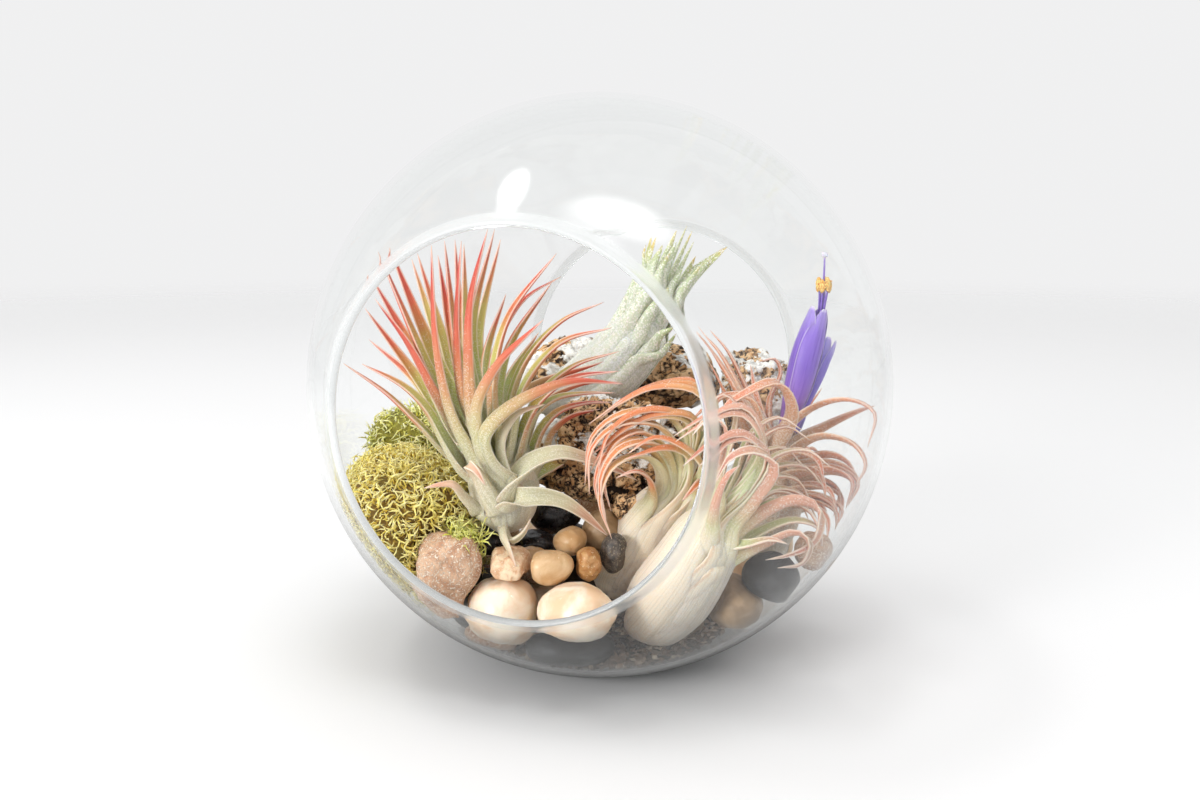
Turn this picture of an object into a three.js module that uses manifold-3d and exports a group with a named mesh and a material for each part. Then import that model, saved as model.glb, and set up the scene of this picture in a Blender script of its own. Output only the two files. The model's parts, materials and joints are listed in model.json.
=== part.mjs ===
// Glass plant terrarium: a blown globe with two round mouths, a bed of pebbles,
// cork bark, moss, five air plants and a violet bloom. Millimetres, +Z up.
// The origin is the middle of the flat foot. The mouths open along Y.

import * as THREE from 'three';
import { mergeVertices } from 'three/addons/utils/BufferGeometryUtils.js';
import Module from 'manifold-3d';

const wasm = await Module();
wasm.setup();

// Driving dimensions of the globe
const GLOBE_DIAMETER = 165;
const WALL = 1.8;
const FOOT_RADIUS = 25;
const MOUTH_RADIUS = 46.7;
const LIP_RADIUS = 1.2;
const FLOOR_THICKNESS = 2.4;
const FLOOR_SPREAD = 4;
const FLOOR_INSET = 0.6;
const GLOBE_FACETS = 40;
const WALL_STEPS = 10;
const LIP_STEPS = 3;

// The planting faces this many degrees to the left of the front mouth
const PLANTING_TURN = 18.4;

// Gap left between pieces that touch
const CLEARANCE = 0.3;

// Worked out from the driving dimensions
const GLOBE_RADIUS = GLOBE_DIAMETER / 2;
const CENTRE_HEIGHT = Math.sqrt(GLOBE_RADIUS ** 2 - FOOT_RADIUS ** 2);
const WALL_MIDDLE = GLOBE_RADIUS - WALL / 2;
const MOUTH_ANGLE = Math.asin(MOUTH_RADIUS / WALL_MIDDLE);
const FACET_SAG = 0.4;
const ROOM_RADIUS = GLOBE_RADIUS - WALL - FACET_SAG - CLEARANCE;
const ROOM_FLOOR = FLOOR_THICKNESS + CLEARANCE;

const terrarium = new THREE.Group();
const planting = new THREE.Group();
planting.rotation.z = THREE.MathUtils.degToRad(PLANTING_TURN);
terrarium.add(planting);

// A closed three.js geometry as a solid that can be joined and cut
function solidOf(geometry) {
  const bare = geometry.clone();
  bare.deleteAttribute('normal');
  bare.deleteAttribute('uv');
  const merged = mergeVertices(bare, 1e-4);
  return new wasm.Manifold(new wasm.Mesh({
    numProp: 3,
    vertProperties: new Float32Array(merged.attributes.position.array),
    triVerts: new Uint32Array(merged.index.array),
  }));
}

// A solid as a named mesh with its own finish
function meshOf(name, solid, finish) {
  const data = solid.getMesh();
  const geometry = new THREE.BufferGeometry();
  geometry.setAttribute('position', new THREE.BufferAttribute(data.vertProperties, 3));
  geometry.setIndex(new THREE.BufferAttribute(data.triVerts, 1));
  const mesh = new THREE.Mesh(geometry, new THREE.MeshStandardMaterial(finish));
  mesh.name = name;
  return mesh;
}

// Moves every point of a geometry by a rule, which gets and returns a Vector3
function reshape(geometry, rule) {
  const position = geometry.attributes.position;
  const point = new THREE.Vector3();
  for (let i = 0; i < position.count; i += 1) {
    point.fromBufferAttribute(position, i);
    const moved = rule(point);
    position.setXYZ(i, moved.x, moved.y, moved.z);
  }
  return geometry;
}

function joined(solids) {
  return solids.reduce((whole, solid) => whole.add(solid));
}

const vector = ([x, y, z]) => new THREE.Vector3(x, y, z);
const UP = new THREE.Vector3(0, 0, 1);

// The globe: one blown shell turned about Y, its lips rounded in the flame,
// pressed flat at the foot with a flat floor inside.
function globe() {
  const profile = [];
  const wallPoint = (radius, angle) => {
    profile.push(new THREE.Vector2(radius * Math.sin(angle), radius * Math.cos(angle)));
  };
  const lip = (middle, start) => {
    const centre = new THREE.Vector2(Math.sin(middle), Math.cos(middle)).multiplyScalar(WALL_MIDDLE);
    for (let i = 0; i <= LIP_STEPS; i += 1) {
      const turn = start - Math.PI * (i / LIP_STEPS);
      const bead = new THREE.Vector2(Math.sin(turn), Math.cos(turn)).multiplyScalar(LIP_RADIUS);
      profile.push(bead.add(centre));
    }
  };
  const inset = 2 * LIP_RADIUS / GLOBE_RADIUS;
  const first = Math.PI - MOUTH_ANGLE - inset;
  const last = MOUTH_ANGLE + inset;
  for (let i = 0; i <= WALL_STEPS; i += 1) {
    wallPoint(GLOBE_RADIUS, THREE.MathUtils.lerp(first, last, i / WALL_STEPS));
  }
  lip(MOUTH_ANGLE, MOUTH_ANGLE);
  for (let i = 0; i <= WALL_STEPS; i += 1) {
    wallPoint(GLOBE_RADIUS - WALL, THREE.MathUtils.lerp(last, first, i / WALL_STEPS));
  }
  lip(Math.PI - MOUTH_ANGLE, 2 * Math.PI - MOUTH_ANGLE);
  profile.push(profile[0].clone());
  const shell = new THREE.LatheGeometry(profile, GLOBE_FACETS);
  shell.translate(0, 0, CENTRE_HEIGHT);

  const below = new THREE.BoxGeometry(GLOBE_DIAMETER, GLOBE_DIAMETER, GLOBE_DIAMETER);
  below.translate(0, 0, -GLOBE_DIAMETER / 2);

  const topRadius = FOOT_RADIUS + FLOOR_SPREAD;
  const underRadius = FOOT_RADIUS - FLOOR_INSET;
  const floor = new THREE.CylinderGeometry(topRadius, underRadius, FLOOR_THICKNESS, GLOBE_FACETS);
  floor.rotateX(Math.PI / 2);
  floor.translate(0, 0, FLOOR_THICKNESS / 2);

  return solidOf(shell).subtract(solidOf(below)).add(solidOf(floor));
}

const GLASS_FINISH = { color: '#e9f0ee', roughness: 0.05, metalness: 0, opacity: 0.35, transparent: true };
terrarium.add(meshOf('glass_globe', globe(), GLASS_FINISH));

// The room inside the globe, which everything planted stays within
function room() {
  const ball = new THREE.SphereGeometry(ROOM_RADIUS, GLOBE_FACETS, GLOBE_FACETS / 2);
  ball.translate(0, 0, CENTRE_HEIGHT);
  const under = new THREE.BoxGeometry(GLOBE_DIAMETER, GLOBE_DIAMETER, 20);
  under.translate(0, 0, ROOM_FLOOR - 10);
  return solidOf(ball).subtract(solidOf(under));
}

const insideRoom = room();
const placed = [];

function boxesMeet(a, b) {
  return [0, 1, 2].every((axis) => a.min[axis] < b.max[axis] && b.min[axis] < a.max[axis]);
}

// Puts a piece in the globe. It gives way to every piece placed before it, with a
// small gap. The rule gets the extra size that its neighbours have to leave free.
function plant(name, finish, shapeWith) {
  let solid = shapeWith(0).intersect(insideRoom);
  const box = solid.boundingBox();
  for (const earlier of placed) {
    if (boxesMeet(earlier.box, box)) {
      solid = solid.subtract(earlier.grown);
    }
  }
  const bodies = solid.decompose().sort((a, b) => b.volume() - a.volume());
  const grown = shapeWith(CLEARANCE);
  placed.push({ grown, box: grown.boundingBox() });
  planting.add(meshOf(name, bodies[0], finish));
}

// A blade swept along its path, four-sided and channelled on its upper face
const EXTRA_BLADE_STEPS = 1;
const BLADE_THICKNESS = 1.5;
const BLADE_CHANNEL = 0.35;
const BLADE_TAPER = 0.7;
const THICKNESS_TAPER = 0.5;
const TIP_SIZE = 0.16;

function bladeSolid(points, width, stemAxis, spare) {
  const path = new THREE.CatmullRomCurve3(points, false, 'centripetal');
  const chord = points[points.length - 1].clone().sub(points[0]);
  const across = points[Math.floor(points.length / 2)].clone().sub(points[0]).cross(chord).normalize();
  const upper = across.clone().cross(path.getTangentAt(0.2));
  if (upper.dot(stemAxis) < 0) {
    across.negate();
  }
  const blade = new THREE.CylinderGeometry(1, 1, 1, 4, points.length + EXTRA_BLADE_STEPS);
  reshape(blade, (point) => {
    const along = THREE.MathUtils.clamp(point.y + 0.5, 0, 1);
    const taper = (1 - along) ** BLADE_TAPER;
    const half = Math.max(width / 2 * taper, TIP_SIZE) + spare;
    const thick = Math.max(BLADE_THICKNESS / 2 * (1 - along) ** THICKNESS_TAPER, TIP_SIZE) + spare;
    const face = across.clone().cross(path.getTangentAt(along)).normalize();
    const lift = point.z * thick + point.x ** 2 * half * BLADE_CHANNEL;
    return path.getPointAt(along).addScaledVector(across, point.x * half).addScaledVector(face, lift);
  });
  const solid = solidOf(blade);
  return solid.volume() < 0 ? solidOf(flipped(blade)) : solid;
}

function flipped(geometry) {
  const index = geometry.index.array;
  for (let i = 0; i < index.length; i += 3) {
    [index[i], index[i + 1]] = [index[i + 1], index[i]];
  }
  return geometry;
}

// The swollen foot of an air plant, where its leaf bases wrap each other.
// Each row is the middle of a section and its radius.
const BULB_SIDES = 9;

function bulbSolid(sections, spare) {
  const path = new THREE.CatmullRomCurve3(sections.map(vector));
  const axis = path.getPoint(1).sub(path.getPoint(0)).normalize();
  const side = new THREE.Vector3(0, 1, 0).cross(axis).normalize();
  const front = axis.clone().cross(side);
  const radiusAt = (along) => {
    const place = along * (sections.length - 1);
    const index = Math.min(Math.floor(place), sections.length - 2);
    return THREE.MathUtils.lerp(sections[index][3], sections[index + 1][3], place - index);
  };
  const bulb = new THREE.CylinderGeometry(1, 1, 1, BULB_SIDES, 2 * sections.length - 3);
  reshape(bulb, (point) => {
    const along = THREE.MathUtils.clamp(point.y + 0.5, 0, 1);
    const radius = radiusAt(along) + spare;
    const end = along === 0 ? -spare : spare * (along === 1);
    return path.getPoint(along)
      .addScaledVector(side, point.x * radius)
      .addScaledVector(front, point.z * radius)
      .addScaledVector(axis, end);
  });
  const solid = solidOf(bulb);
  return solid.volume() < 0 ? solidOf(flipped(bulb)) : solid;
}

function airPlantSolid({ bulb, leaves }, spare) {
  const sections = bulb.map(vector);
  const heart = sections[Math.floor(sections.length / 2)];
  const axis = sections[sections.length - 1].clone().sub(sections[0]).normalize();
  const blades = leaves.map(([points, width]) => (
    bladeSolid([heart, ...points.map(vector)], width, axis, spare)));
  return joined([bulbSolid(bulb, spare), ...blades]);
}

// The plants, in the planting's own frame: right, away, up.
// Each leaf is the points that it passes, ending at its tip, and its width.

// A fan of upright red-tipped leaves, the lowest of them arching to the right
const PLANT_LEFT = {
  bulb: [[-26, -27, 43, 3], [-27, -26, 48, 8], [-28, -24, 55, 9.5], [-31, -20, 63, 7], [-34, -18, 69, 4]],
  leaves: [
    [[[-40, -26, 60], [-48, -30, 72], [-66, -34, 90]], 5.5],
    [[[-39, -20, 61], [-49, -20, 76], [-64, -24, 89]], 6],
    [[[-39, -12, 61], [-49, -6, 77], [-66, -8, 102]], 6],
    [[[-42, -4, 60], [-54, 6, 78], [-70, 12, 91]], 5.5],
    [[[-39, -12, 65], [-50, -10, 86], [-63, -12, 111]], 6.5],
    [[[-38, -22, 67], [-46, -24, 86], [-58, -24, 118]], 7],
    [[[-38, -10, 68], [-48, -4, 89], [-59, -6, 119]], 7],
    [[[-39, 0, 66], [-48, 10, 88], [-57, 16, 115]], 6],
    [[[-38, -6, 67], [-45, 2, 89], [-53, 4, 117]], 6],
    [[[-34, -26, 68], [-40, -30, 93], [-43, -31, 120]], 8],
    [[[-35, -14, 68], [-41, -14, 94], [-44, -15, 117]], 6.5],
    [[[-35, -22, 70], [-39, -22, 92], [-41, -22, 121]], 7],
    [[[-36, -6, 67], [-40, 0, 89], [-42, 4, 121]], 6],
    [[[-34, -16, 69], [-37, -16, 91], [-37, -14, 120]], 6.5],
    [[[-33, -26, 71], [-35, -28, 95], [-29, -27, 124]], 8],
    [[[-33, -14, 68], [-36, -12, 96], [-29, -10, 124]], 6.5],
    [[[-34, -2, 66], [-36, 2, 92], [-29, 6, 121]], 6],
    [[[-31, -26, 68], [-32, -34, 93], [-25, -36, 119]], 8],
    [[[-32, -8, 67], [-34, 0, 86], [-28, 10, 105]], 6.5],
    [[[-30, -28, 69], [-26, -32, 93], [-11, -34, 118]], 8],
    [[[-30, -18, 69], [-26, -16, 91], [-13, -15, 110]], 6.5],
    [[[-29, -30, 66], [-27, -38, 86], [-14, -42, 102]], 7.5],
    [[[-30, -6, 67], [-27, -2, 81], [-18, 4, 94]], 6],
    [[[-28, -28, 69], [-22, -34, 88], [1, -36, 102]], 8],
    [[[-27, -22, 67], [-21, -24, 85], [4, -24, 95]], 7],
    [[[-28, -12, 62], [-22, -10, 77], [1, -8, 87]], 6.5],
    [[[-26, -32, 67], [-19, -38, 81], [-7, -34, 86], [6, -28, 84]], 7.5],
    [[[-26, -24, 65], [-17, -25, 77], [-5, -22, 81], [4, -20, 79]], 7],
    [[[-26, -16, 62], [-17, -16, 71], [1, -14, 77]], 6.5],
    [[[-29, -32, 65], [-26, -44, 77], [-14, -48, 82]], 6.5],
    [[[-23, -32, 59], [-15, -32, 63], [-3, -29, 62], [11, -26, 56]], 8.5],
    [[[-22, -32, 53], [-15, -34, 55], [-7, -33, 52], [2, -30, 44]], 8.5],
    [[[-30, -32, 54], [-37, -34, 58], [-45, -36, 59]], 6],
    [[[-29, -34, 56], [-32, -40, 61], [-34, -41, 66]], 7.5],
    [[[-24, -16, 53], [-16, -8, 54], [-8, 0, 53]], 6.5],
    [[[-27, -30, 46], [-26, -32, 41], [-25, -31, 38]], 3.5],
  ],
};

// A thick silvery plant that leans to the right at the back
const PLANT_BACK = {
  bulb: [[-19, 20, 71, 5], [-10, 19, 73, 8.5], [1, 20, 79, 11], [11, 23, 90, 10], [17, 27, 100, 7]],
  leaves: [
    [[[13, 36, 91], [14, 38, 104], [17, 44, 122]], 10],
    [[[7, 24, 93], [11, 26, 105], [20, 34, 119]], 11],
    [[[12, 18, 96], [17, 20, 106], [24, 28, 120]], 11],
    [[[16, 28, 94], [20, 30, 106], [28, 37, 125]], 11],
    [[[18, 34, 92], [23, 36, 104], [31, 44, 120]], 10],
    [[[19, 22, 95], [26, 24, 105], [36, 34, 115]], 10],
    [[[22, 34, 92], [27, 38, 106], [42, 50, 118]], 10],
    [[[15, 12, 88], [18, 8, 93], [22, 8, 95]], 8],
    [[[-9, 14, 81], [0, 11, 85], [8, 12, 90]], 12],
    [[[0, 14, 77], [9, 12, 77], [19, 12, 88]], 12],
    [[[-12, 16, 72], [-3, 14, 72], [7, 14, 76]], 10],
  ],
};

// A pale bulb whose leaves rise and curl over to the left
const PLANT_SMALL = {
  bulb: [[3, -14, 20, 3], [6, -14, 23, 7.5], [10, -14, 30, 9.5], [15, -18, 41, 8.5], [20, -24, 51, 6]],
  leaves: [
    [[[18, -27, 55], [17, -30, 66], [10, -34, 72], [3, -37, 69], [1, -38, 62], [2, -38, 55]], 5.5],
    [[[16, -27, 54], [15, -31, 62], [10, -36, 66], [3, -40, 64], [0, -41, 56], [3, -40, 45]], 5],
    [[[21, -26, 57], [22, -28, 69], [17, -32, 76], [6, -35, 77], [-2, -36, 71], [-4, -36, 58]], 6],
    [[[23, -26, 60], [26, -30, 72], [23, -34, 77], [13, -36, 77], [3, -37, 71], [-3, -38, 66]], 6],
    [[[24, -26, 60], [29, -31, 75], [25, -34, 83], [14, -34, 84], [4, -34, 79], [-3, -34, 74]], 6],
    [[[26, -24, 62], [29, -26, 79], [24, -28, 85], [13, -30, 83], [5, -31, 79], [0, -32, 75]], 5.5],
    [[[24, -30, 58], [23, -34, 66], [17, -38, 69], [6, -40, 66]], 5.5],
    [[[26, -30, 55], [27, -35, 63], [22, -38, 69], [14, -40, 72], [7, -42, 68]], 5.5],
    [[[25, -32, 53], [26, -36, 59], [21, -40, 55]], 5],
    [[[13, -28, 52], [13, -34, 59], [9, -40, 63], [4, -43, 62]], 4.5],
  ],
};

// The largest bulb, which lies against the glass and opens upwards to the right
const PLANT_LARGE = {
  bulb: [[11, -27, 14, 4.5], [15, -30, 19, 9.5], [20, -35, 27, 11.5], [25, -41, 39, 11.5], [31, -46, 50, 9]],
  leaves: [
    [[[26, -52, 49], [27, -57, 60], [30, -59, 67], [33, -58, 69]], 8],
    [[[31, -50, 52], [37, -50, 59], [42, -50, 67], [37, -52, 71], [31, -55, 70], [26, -57, 64]], 9],
    [[[31, -44, 53], [37, -43, 61], [41, -43, 72], [36, -45, 81], [28, -47, 80], [18, -49, 74]], 8],
    [[[32, -48, 46], [41, -47, 54], [49, -46, 57], [55, -45, 54], [54, -46, 47], [48, -48, 44],
      [41, -50, 43]], 7],
    [[[33, -44, 42], [43, -41, 48], [50, -40, 50], [56, -39, 48], [59, -34, 40]], 6],
    [[[32, -46, 39], [41, -46, 45], [49, -47, 49], [52, -48, 47], [51, -46, 41], [44, -50, 41]], 6],
    [[[28, -48, 55], [28, -50, 66], [30, -50, 76], [26, -52, 79], [22, -54, 75]], 6.5],
    [[[28, -44, 49], [31, -42, 64], [34, -42, 74], [34, -43, 81], [30, -45, 84], [26, -47, 82]], 7],
    [[[29, -46, 31], [37, -49, 40], [43, -52, 44], [46, -53, 46]], 5.5],
  ],
};

// A rosy plant at the right, whose leaves fan out to the glass
const PLANT_RIGHT = {
  bulb: [[50, -10, 29, 5], [48, -12, 37, 9], [49, -12, 46, 10], [50, -12, 55, 8], [51, -11, 62, 5]],
  leaves: [
    [[[53, -10, 65], [59, -14, 74], [68, -20, 78], [74, -24, 75], [72, -26, 66]], 6],
    [[[56, -4, 62], [66, -4, 68], [73, -10, 73], [76, -18, 76]], 5.5],
    [[[54, -14, 60], [61, -18, 67], [69, -22, 66], [72, -25, 61], [69, -26, 55]], 7],
    [[[57, -6, 56], [66, -10, 60], [71, -14, 58], [71, -21, 53]], 6],
    [[[54, -16, 54], [64, -19, 58], [69, -23, 56], [67, -26, 49]], 6.5],
    [[[56, -10, 50], [64, -14, 52], [68, -17, 50], [67, -22, 45]], 6],
    [[[53, -18, 49], [60, -22, 51], [64, -25, 49], [64, -28, 45]], 6],
    [[[52, -20, 47], [58, -25, 49], [61, -29, 47], [61, -31, 42]], 6],
    [[[51, -20, 60], [54, -24, 64], [58, -27, 63], [60, -29, 57]], 6],
    [[[54, -4, 63], [58, -2, 71], [64, 0, 82]], 5.5],
    [[[57, 4, 62], [62, 8, 68], [67, 12, 72]], 5],
    [[[48, -10, 65], [43, -6, 76], [37, -2, 89], [32, 0, 95]], 6],
    [[[45, -16, 63], [39, -14, 77], [31, -13, 90], [25, -14, 95]], 6.5],
    [[[51, 0, 62], [51, 4, 74], [54, 5, 82], [52, 5, 86], [47, 5, 85]], 6],
    [[[50, 0, 62], [47, 5, 74], [45, 7, 84]], 5],
    [[[44, -19, 62], [43, -22, 73], [40, -23, 79], [32, -23, 79], [24, -23, 72]], 7],
    [[[47, -20, 64], [51, -24, 75], [46, -30, 84], [38, -33, 82], [31, -36, 78], [26, -38, 73]], 8],
    [[[45, -6, 59], [39, -4, 72], [33, -3, 81], [29, -3, 86]], 6],
    [[[50, 8, 56], [53, 18, 65], [58, 26, 70]], 5.5],
    [[[54, 4, 52], [64, 12, 57], [70, 20, 54]], 6],
    [[[48, 4, 52], [47, 16, 56], [46, 28, 54]], 6],
    [[[58, 0, 44], [66, 6, 43], [68, -2, 41]], 6],
  ],
};

const LEAF_FINISH = { roughness: 0.75, metalness: 0 };
plant('plant_left', { ...LEAF_FINISH, color: '#c98a62' }, (spare) => airPlantSolid(PLANT_LEFT, spare));
plant('plant_back', { ...LEAF_FINISH, color: '#cfd6c2' }, (spare) => airPlantSolid(PLANT_BACK, spare));
plant('plant_small', { ...LEAF_FINISH, color: '#e5c39a' }, (spare) => airPlantSolid(PLANT_SMALL, spare));
plant('plant_large', { ...LEAF_FINISH, color: '#e3d0b4' }, (spare) => airPlantSolid(PLANT_LARGE, spare));
plant('plant_right', { ...LEAF_FINISH, color: '#cf9a86' }, (spare) => airPlantSolid(PLANT_RIGHT, spare));

// The bloom of the rosy plant: long petals rolled into tubes, with threads that stand
// out of the tallest one. Sections as in a bulb.
const TALL_PETALS = [
  [52, -10, 64, 1.6], [54, -9, 71, 2.6], [56.5, -8, 80, 4],
  [59, -7, 90, 4.3], [61.5, -6, 98, 3.2], [62.5, -6, 102, 2.3],
];
const SHORT_PETALS = [
  [56, -4, 66, 1.2], [59.5, -2.5, 75, 2.2], [62.5, -2, 83, 3], [65, -2, 89, 2.6], [67, -2, 93, 1.4],
];
const BUD = [[54, -1, 61, 1.2], [58, 1.5, 67, 2.3], [61, 2, 72, 0.9]];
const THREADS = [[62, -6, 98, 1.3], [62.8, -6, 103, 1.2], [63.2, -6, 107.5, 0.9]];
const PISTIL = [[62.6, -6, 101, 0.5], [63.2, -6, 109, 0.5], [63.2, -6, 115.6, 0.5]];
const ANTHER_COUNT = 6;
const ANTHER_RING = 1.5;
const ANTHER_SIZE = [1.2, 1.2, 2.1];
const ANTHER_STAGGER = 0.7;
const ANTHER_MIDDLE = [63.2, -6, 108.2];
const STIGMA = { place: [63.2, -6, 116.9], size: [1.2, 1.2, 1] };

function beadSolid(place, size, spare) {
  const ball = new THREE.OctahedronGeometry(1, 0);
  ball.scale(size[0] + spare, size[1] + spare, size[2] + spare);
  ball.translate(...place);
  return solidOf(ball);
}

function anthersSolid(spare) {
  const lobes = [];
  for (let i = 0; i < ANTHER_COUNT; i += 1) {
    const turn = i * 2 * Math.PI / ANTHER_COUNT;
    const place = vector(ANTHER_MIDDLE);
    place.x += ANTHER_RING * Math.cos(turn);
    place.y += ANTHER_RING * Math.sin(turn);
    place.z += ANTHER_STAGGER * (i % 2);
    lobes.push(beadSolid(place.toArray(), ANTHER_SIZE, spare));
  }
  return joined(lobes);
}

plant('flower_tall', { color: '#8c68c2', roughness: 0.5, metalness: 0 }, (spare) => (
  joined([TALL_PETALS, THREADS, PISTIL].map((sections) => bulbSolid(sections, spare)))));
plant('flower_short', { color: '#7d62c4', roughness: 0.5, metalness: 0 }, (spare) => (
  bulbSolid(SHORT_PETALS, spare)));
plant('flower_bud', { color: '#56489c', roughness: 0.5, metalness: 0 }, (spare) => bulbSolid(BUD, spare));
plant('flower_anthers', { color: '#f0c255', roughness: 0.8, metalness: 0 }, anthersSolid);
plant('flower_stigma', { color: '#f2eef6', roughness: 0.8, metalness: 0 }, (spare) => (
  beadSolid(STIGMA.place, STIGMA.size, spare)));

// A stone, a piece of bark or a clump of moss: a ball drawn out to its size, squared
// by its edge value, and roughened by waves that its seed sets.
function lumpSolid(lump, spare) {
  const { place, size, turn = 0, lean = 0 } = lump;
  const { edge = 1, relief = 0.05, waves = 2.2, detail = 1, seed = 0 } = lump;
  const ball = new THREE.IcosahedronGeometry(1, detail);
  const squared = (value) => Math.sign(value) * Math.abs(value) ** edge;
  reshape(ball, (point) => {
    const swell = Math.sin(waves * point.x + 1.7 * seed)
      + Math.sin(1.3 * waves * point.y + 2.9 * seed)
      + Math.sin(1.7 * waves * point.z + 4.1 * seed);
    const factor = 1 + relief * swell / 2;
    return new THREE.Vector3(squared(point.x), squared(point.y), squared(point.z))
      .multiplyScalar(factor)
      .multiply(vector(size).addScalar(spare));
  });
  ball.rotateY(THREE.MathUtils.degToRad(lean));
  ball.rotateZ(THREE.MathUtils.degToRad(turn));
  ball.translate(...place);
  return solidOf(ball);
}

// Virgin cork: a block in front with a hollow under it, a log across the back on a
// wide piece, and a thick stump at the right. The chip lies on the pebbles.
const CORK_FINISH = { color: '#94663f', roughness: 0.95, metalness: 0 };
const CORK_FORM = { edge: 0.7, relief: 0.14, waves: 3.4 };
const CORK_PIECES = {
  cork_front: { place: [5, 0, 59], size: [21, 14, 15], turn: 12, lean: 12, seed: 1 },
  cork_log: { place: [6, 45, 73.8], size: [32, 10, 13.6], turn: -6, seed: 2 },
  cork_base: { place: [8, 34, 51.2], size: [30, 15, 13.3], turn: 5, seed: 3 },
  cork_stump: { place: [50, 28, 67], size: [11, 12, 18], turn: 20, seed: 4 },
};
for (const [name, piece] of Object.entries(CORK_PIECES)) {
  plant(name, CORK_FINISH, (spare) => lumpSolid({ ...CORK_FORM, detail: 2, ...piece }, spare));
}

// The stones that show from the front, each where it lies
const STONE_COLOURS = {
  cream: '#f3dcc4', tan: '#c9a072', pink: '#c49c88', brown: '#a58066', grey: '#6a6663', black: '#211f20',
};
const STONES = [
  {
    name: 'stone_cream_large', colour: 'cream', place: [-26, -38, 25],
    size: [10.5, 11, 9.7], turn: 20, detail: 2, seed: 1,
  },
  {
    name: 'stone_cream_pink', colour: 'cream', place: [-6, -46, 28],
    size: [10.5, 9.5, 7.8], turn: -15, detail: 2, seed: 2,
  },
  {
    name: 'stone_pink_granite', colour: 'pink', place: [-40, -37, 35],
    size: [8.8, 9, 12], turn: 10, edge: 0.8, relief: 0.12, seed: 3,
  },
  {
    name: 'stone_cream_pitted', colour: 'cream', place: [-24, -38, 38],
    size: [6.8, 6.5, 4.6], edge: 0.8, relief: 0.12, seed: 4,
  },
  { name: 'stone_grey_low', colour: 'grey', place: [-7, -33, 13], size: [13, 11, 6], turn: 8, seed: 5 },
  { name: 'stone_tan_pear', colour: 'tan', place: [-13, -38, 37], size: [7.6, 6, 5], turn: 25, seed: 6 },
  { name: 'stone_tan_flat', colour: 'tan', place: [-19, -28, 36], size: [5, 5, 3], seed: 7 },
  { name: 'stone_tan_round', colour: 'tan', place: [-8, -28, 41], size: [5, 5, 4.2], seed: 8 },
  { name: 'stone_brown_quartz', colour: 'tan', place: [-3, -37, 37], size: [4.3, 5, 5.8], seed: 9 },
  { name: 'stone_grey_tan', colour: 'brown', place: [1, -20, 41], size: [6, 7, 6.6], seed: 10 },
  { name: 'stone_speckled', colour: 'grey', place: [3, -31, 38], size: [4.2, 5, 6], seed: 11 },
  { name: 'stone_black_long', colour: 'black', place: [-13, -6, 42], size: [9.2, 8, 6], turn: -10, seed: 12 },
  { name: 'stone_black_left', colour: 'black', place: [-31, -19, 38], size: [6, 7, 5], seed: 13 },
  { name: 'stone_black_mid', colour: 'black', place: [-18, -19, 36], size: [5.5, 6, 4], seed: 14 },
  {
    name: 'stone_granite_low', colour: 'pink', place: [-31, -35, 12],
    size: [9, 9, 6.5], edge: 0.85, relief: 0.1, seed: 15,
  },
  { name: 'stone_grey_right', colour: 'grey', place: [46, -34, 33], size: [7.2, 9, 6], turn: 35, seed: 16 },
  {
    name: 'stone_brown_right', colour: 'brown', place: [36, -32, 25],
    size: [7.8, 10, 8], turn: 35, edge: 0.9, relief: 0.08, seed: 17,
  },
  { name: 'stone_pink_right', colour: 'pink', place: [57, -30, 39], size: [5, 7, 5], seed: 18 },
];

// The rest of the bed: larger stones in rings, set down to rest on each other
const BED_RINGS = [
  { count: 5, radius: 27, height: 14, size: 12, from: -180, to: 180 },
  { count: 8, radius: 50, height: 26, size: 11.5, from: -20, to: 215 },
  { count: 4, radius: 22, height: 33, size: 10, from: -10, to: 190 },
  { count: 5, radius: 60, height: 40, size: 8.5, from: -15, to: 130 },
];
const BED_FORM = { relief: 0.08, free: true };
const BED_FLATNESS = 0.8;
const BED_STRETCH = 0.12;
const BED_TURN = 47;
const BED_SEED = 20;
const BED_COLOURS = ['tan', 'cream', 'brown', 'pink', 'grey', 'cream', 'tan', 'black', 'pink'];

function bedStones() {
  const bed = [];
  for (const { count, radius, height, size, from, to } of BED_RINGS) {
    for (let i = 0; i < count; i += 1) {
      const number = bed.length + 1;
      const angle = THREE.MathUtils.degToRad(from + (to - from) * (i + 0.5) / count);
      const stretch = BED_STRETCH * Math.sin(5 * number);
      bed.push({
        name: `stone_bed_${String(number).padStart(2, '0')}`,
        colour: BED_COLOURS[number % BED_COLOURS.length],
        place: [radius * Math.cos(angle), radius * Math.sin(angle), height],
        size: [size * (1 + stretch), size * (1 - stretch), size * BED_FLATNESS],
        turn: BED_TURN * number,
        seed: BED_SEED + number,
        ...BED_FORM,
      });
    }
  }
  return bed;
}

// How far a lump reaches from its middle in a level turned frame, as an ellipsoid
function reach(lump, direction) {
  const turn = THREE.MathUtils.degToRad(lump.turn ?? 0);
  const local = direction.clone().applyAxisAngle(UP, -turn);
  return 1 / local.divide(vector(lump.size)).length();
}

// Lets the free stones sink until they rest on the globe and on each other. Resting
// stones may press together by this much, and are then trimmed to clear each other.
const PRESS = 0.5;
const SETTLE_ROUNDS = 160;
const SINK_STEP = 0.25;

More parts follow.
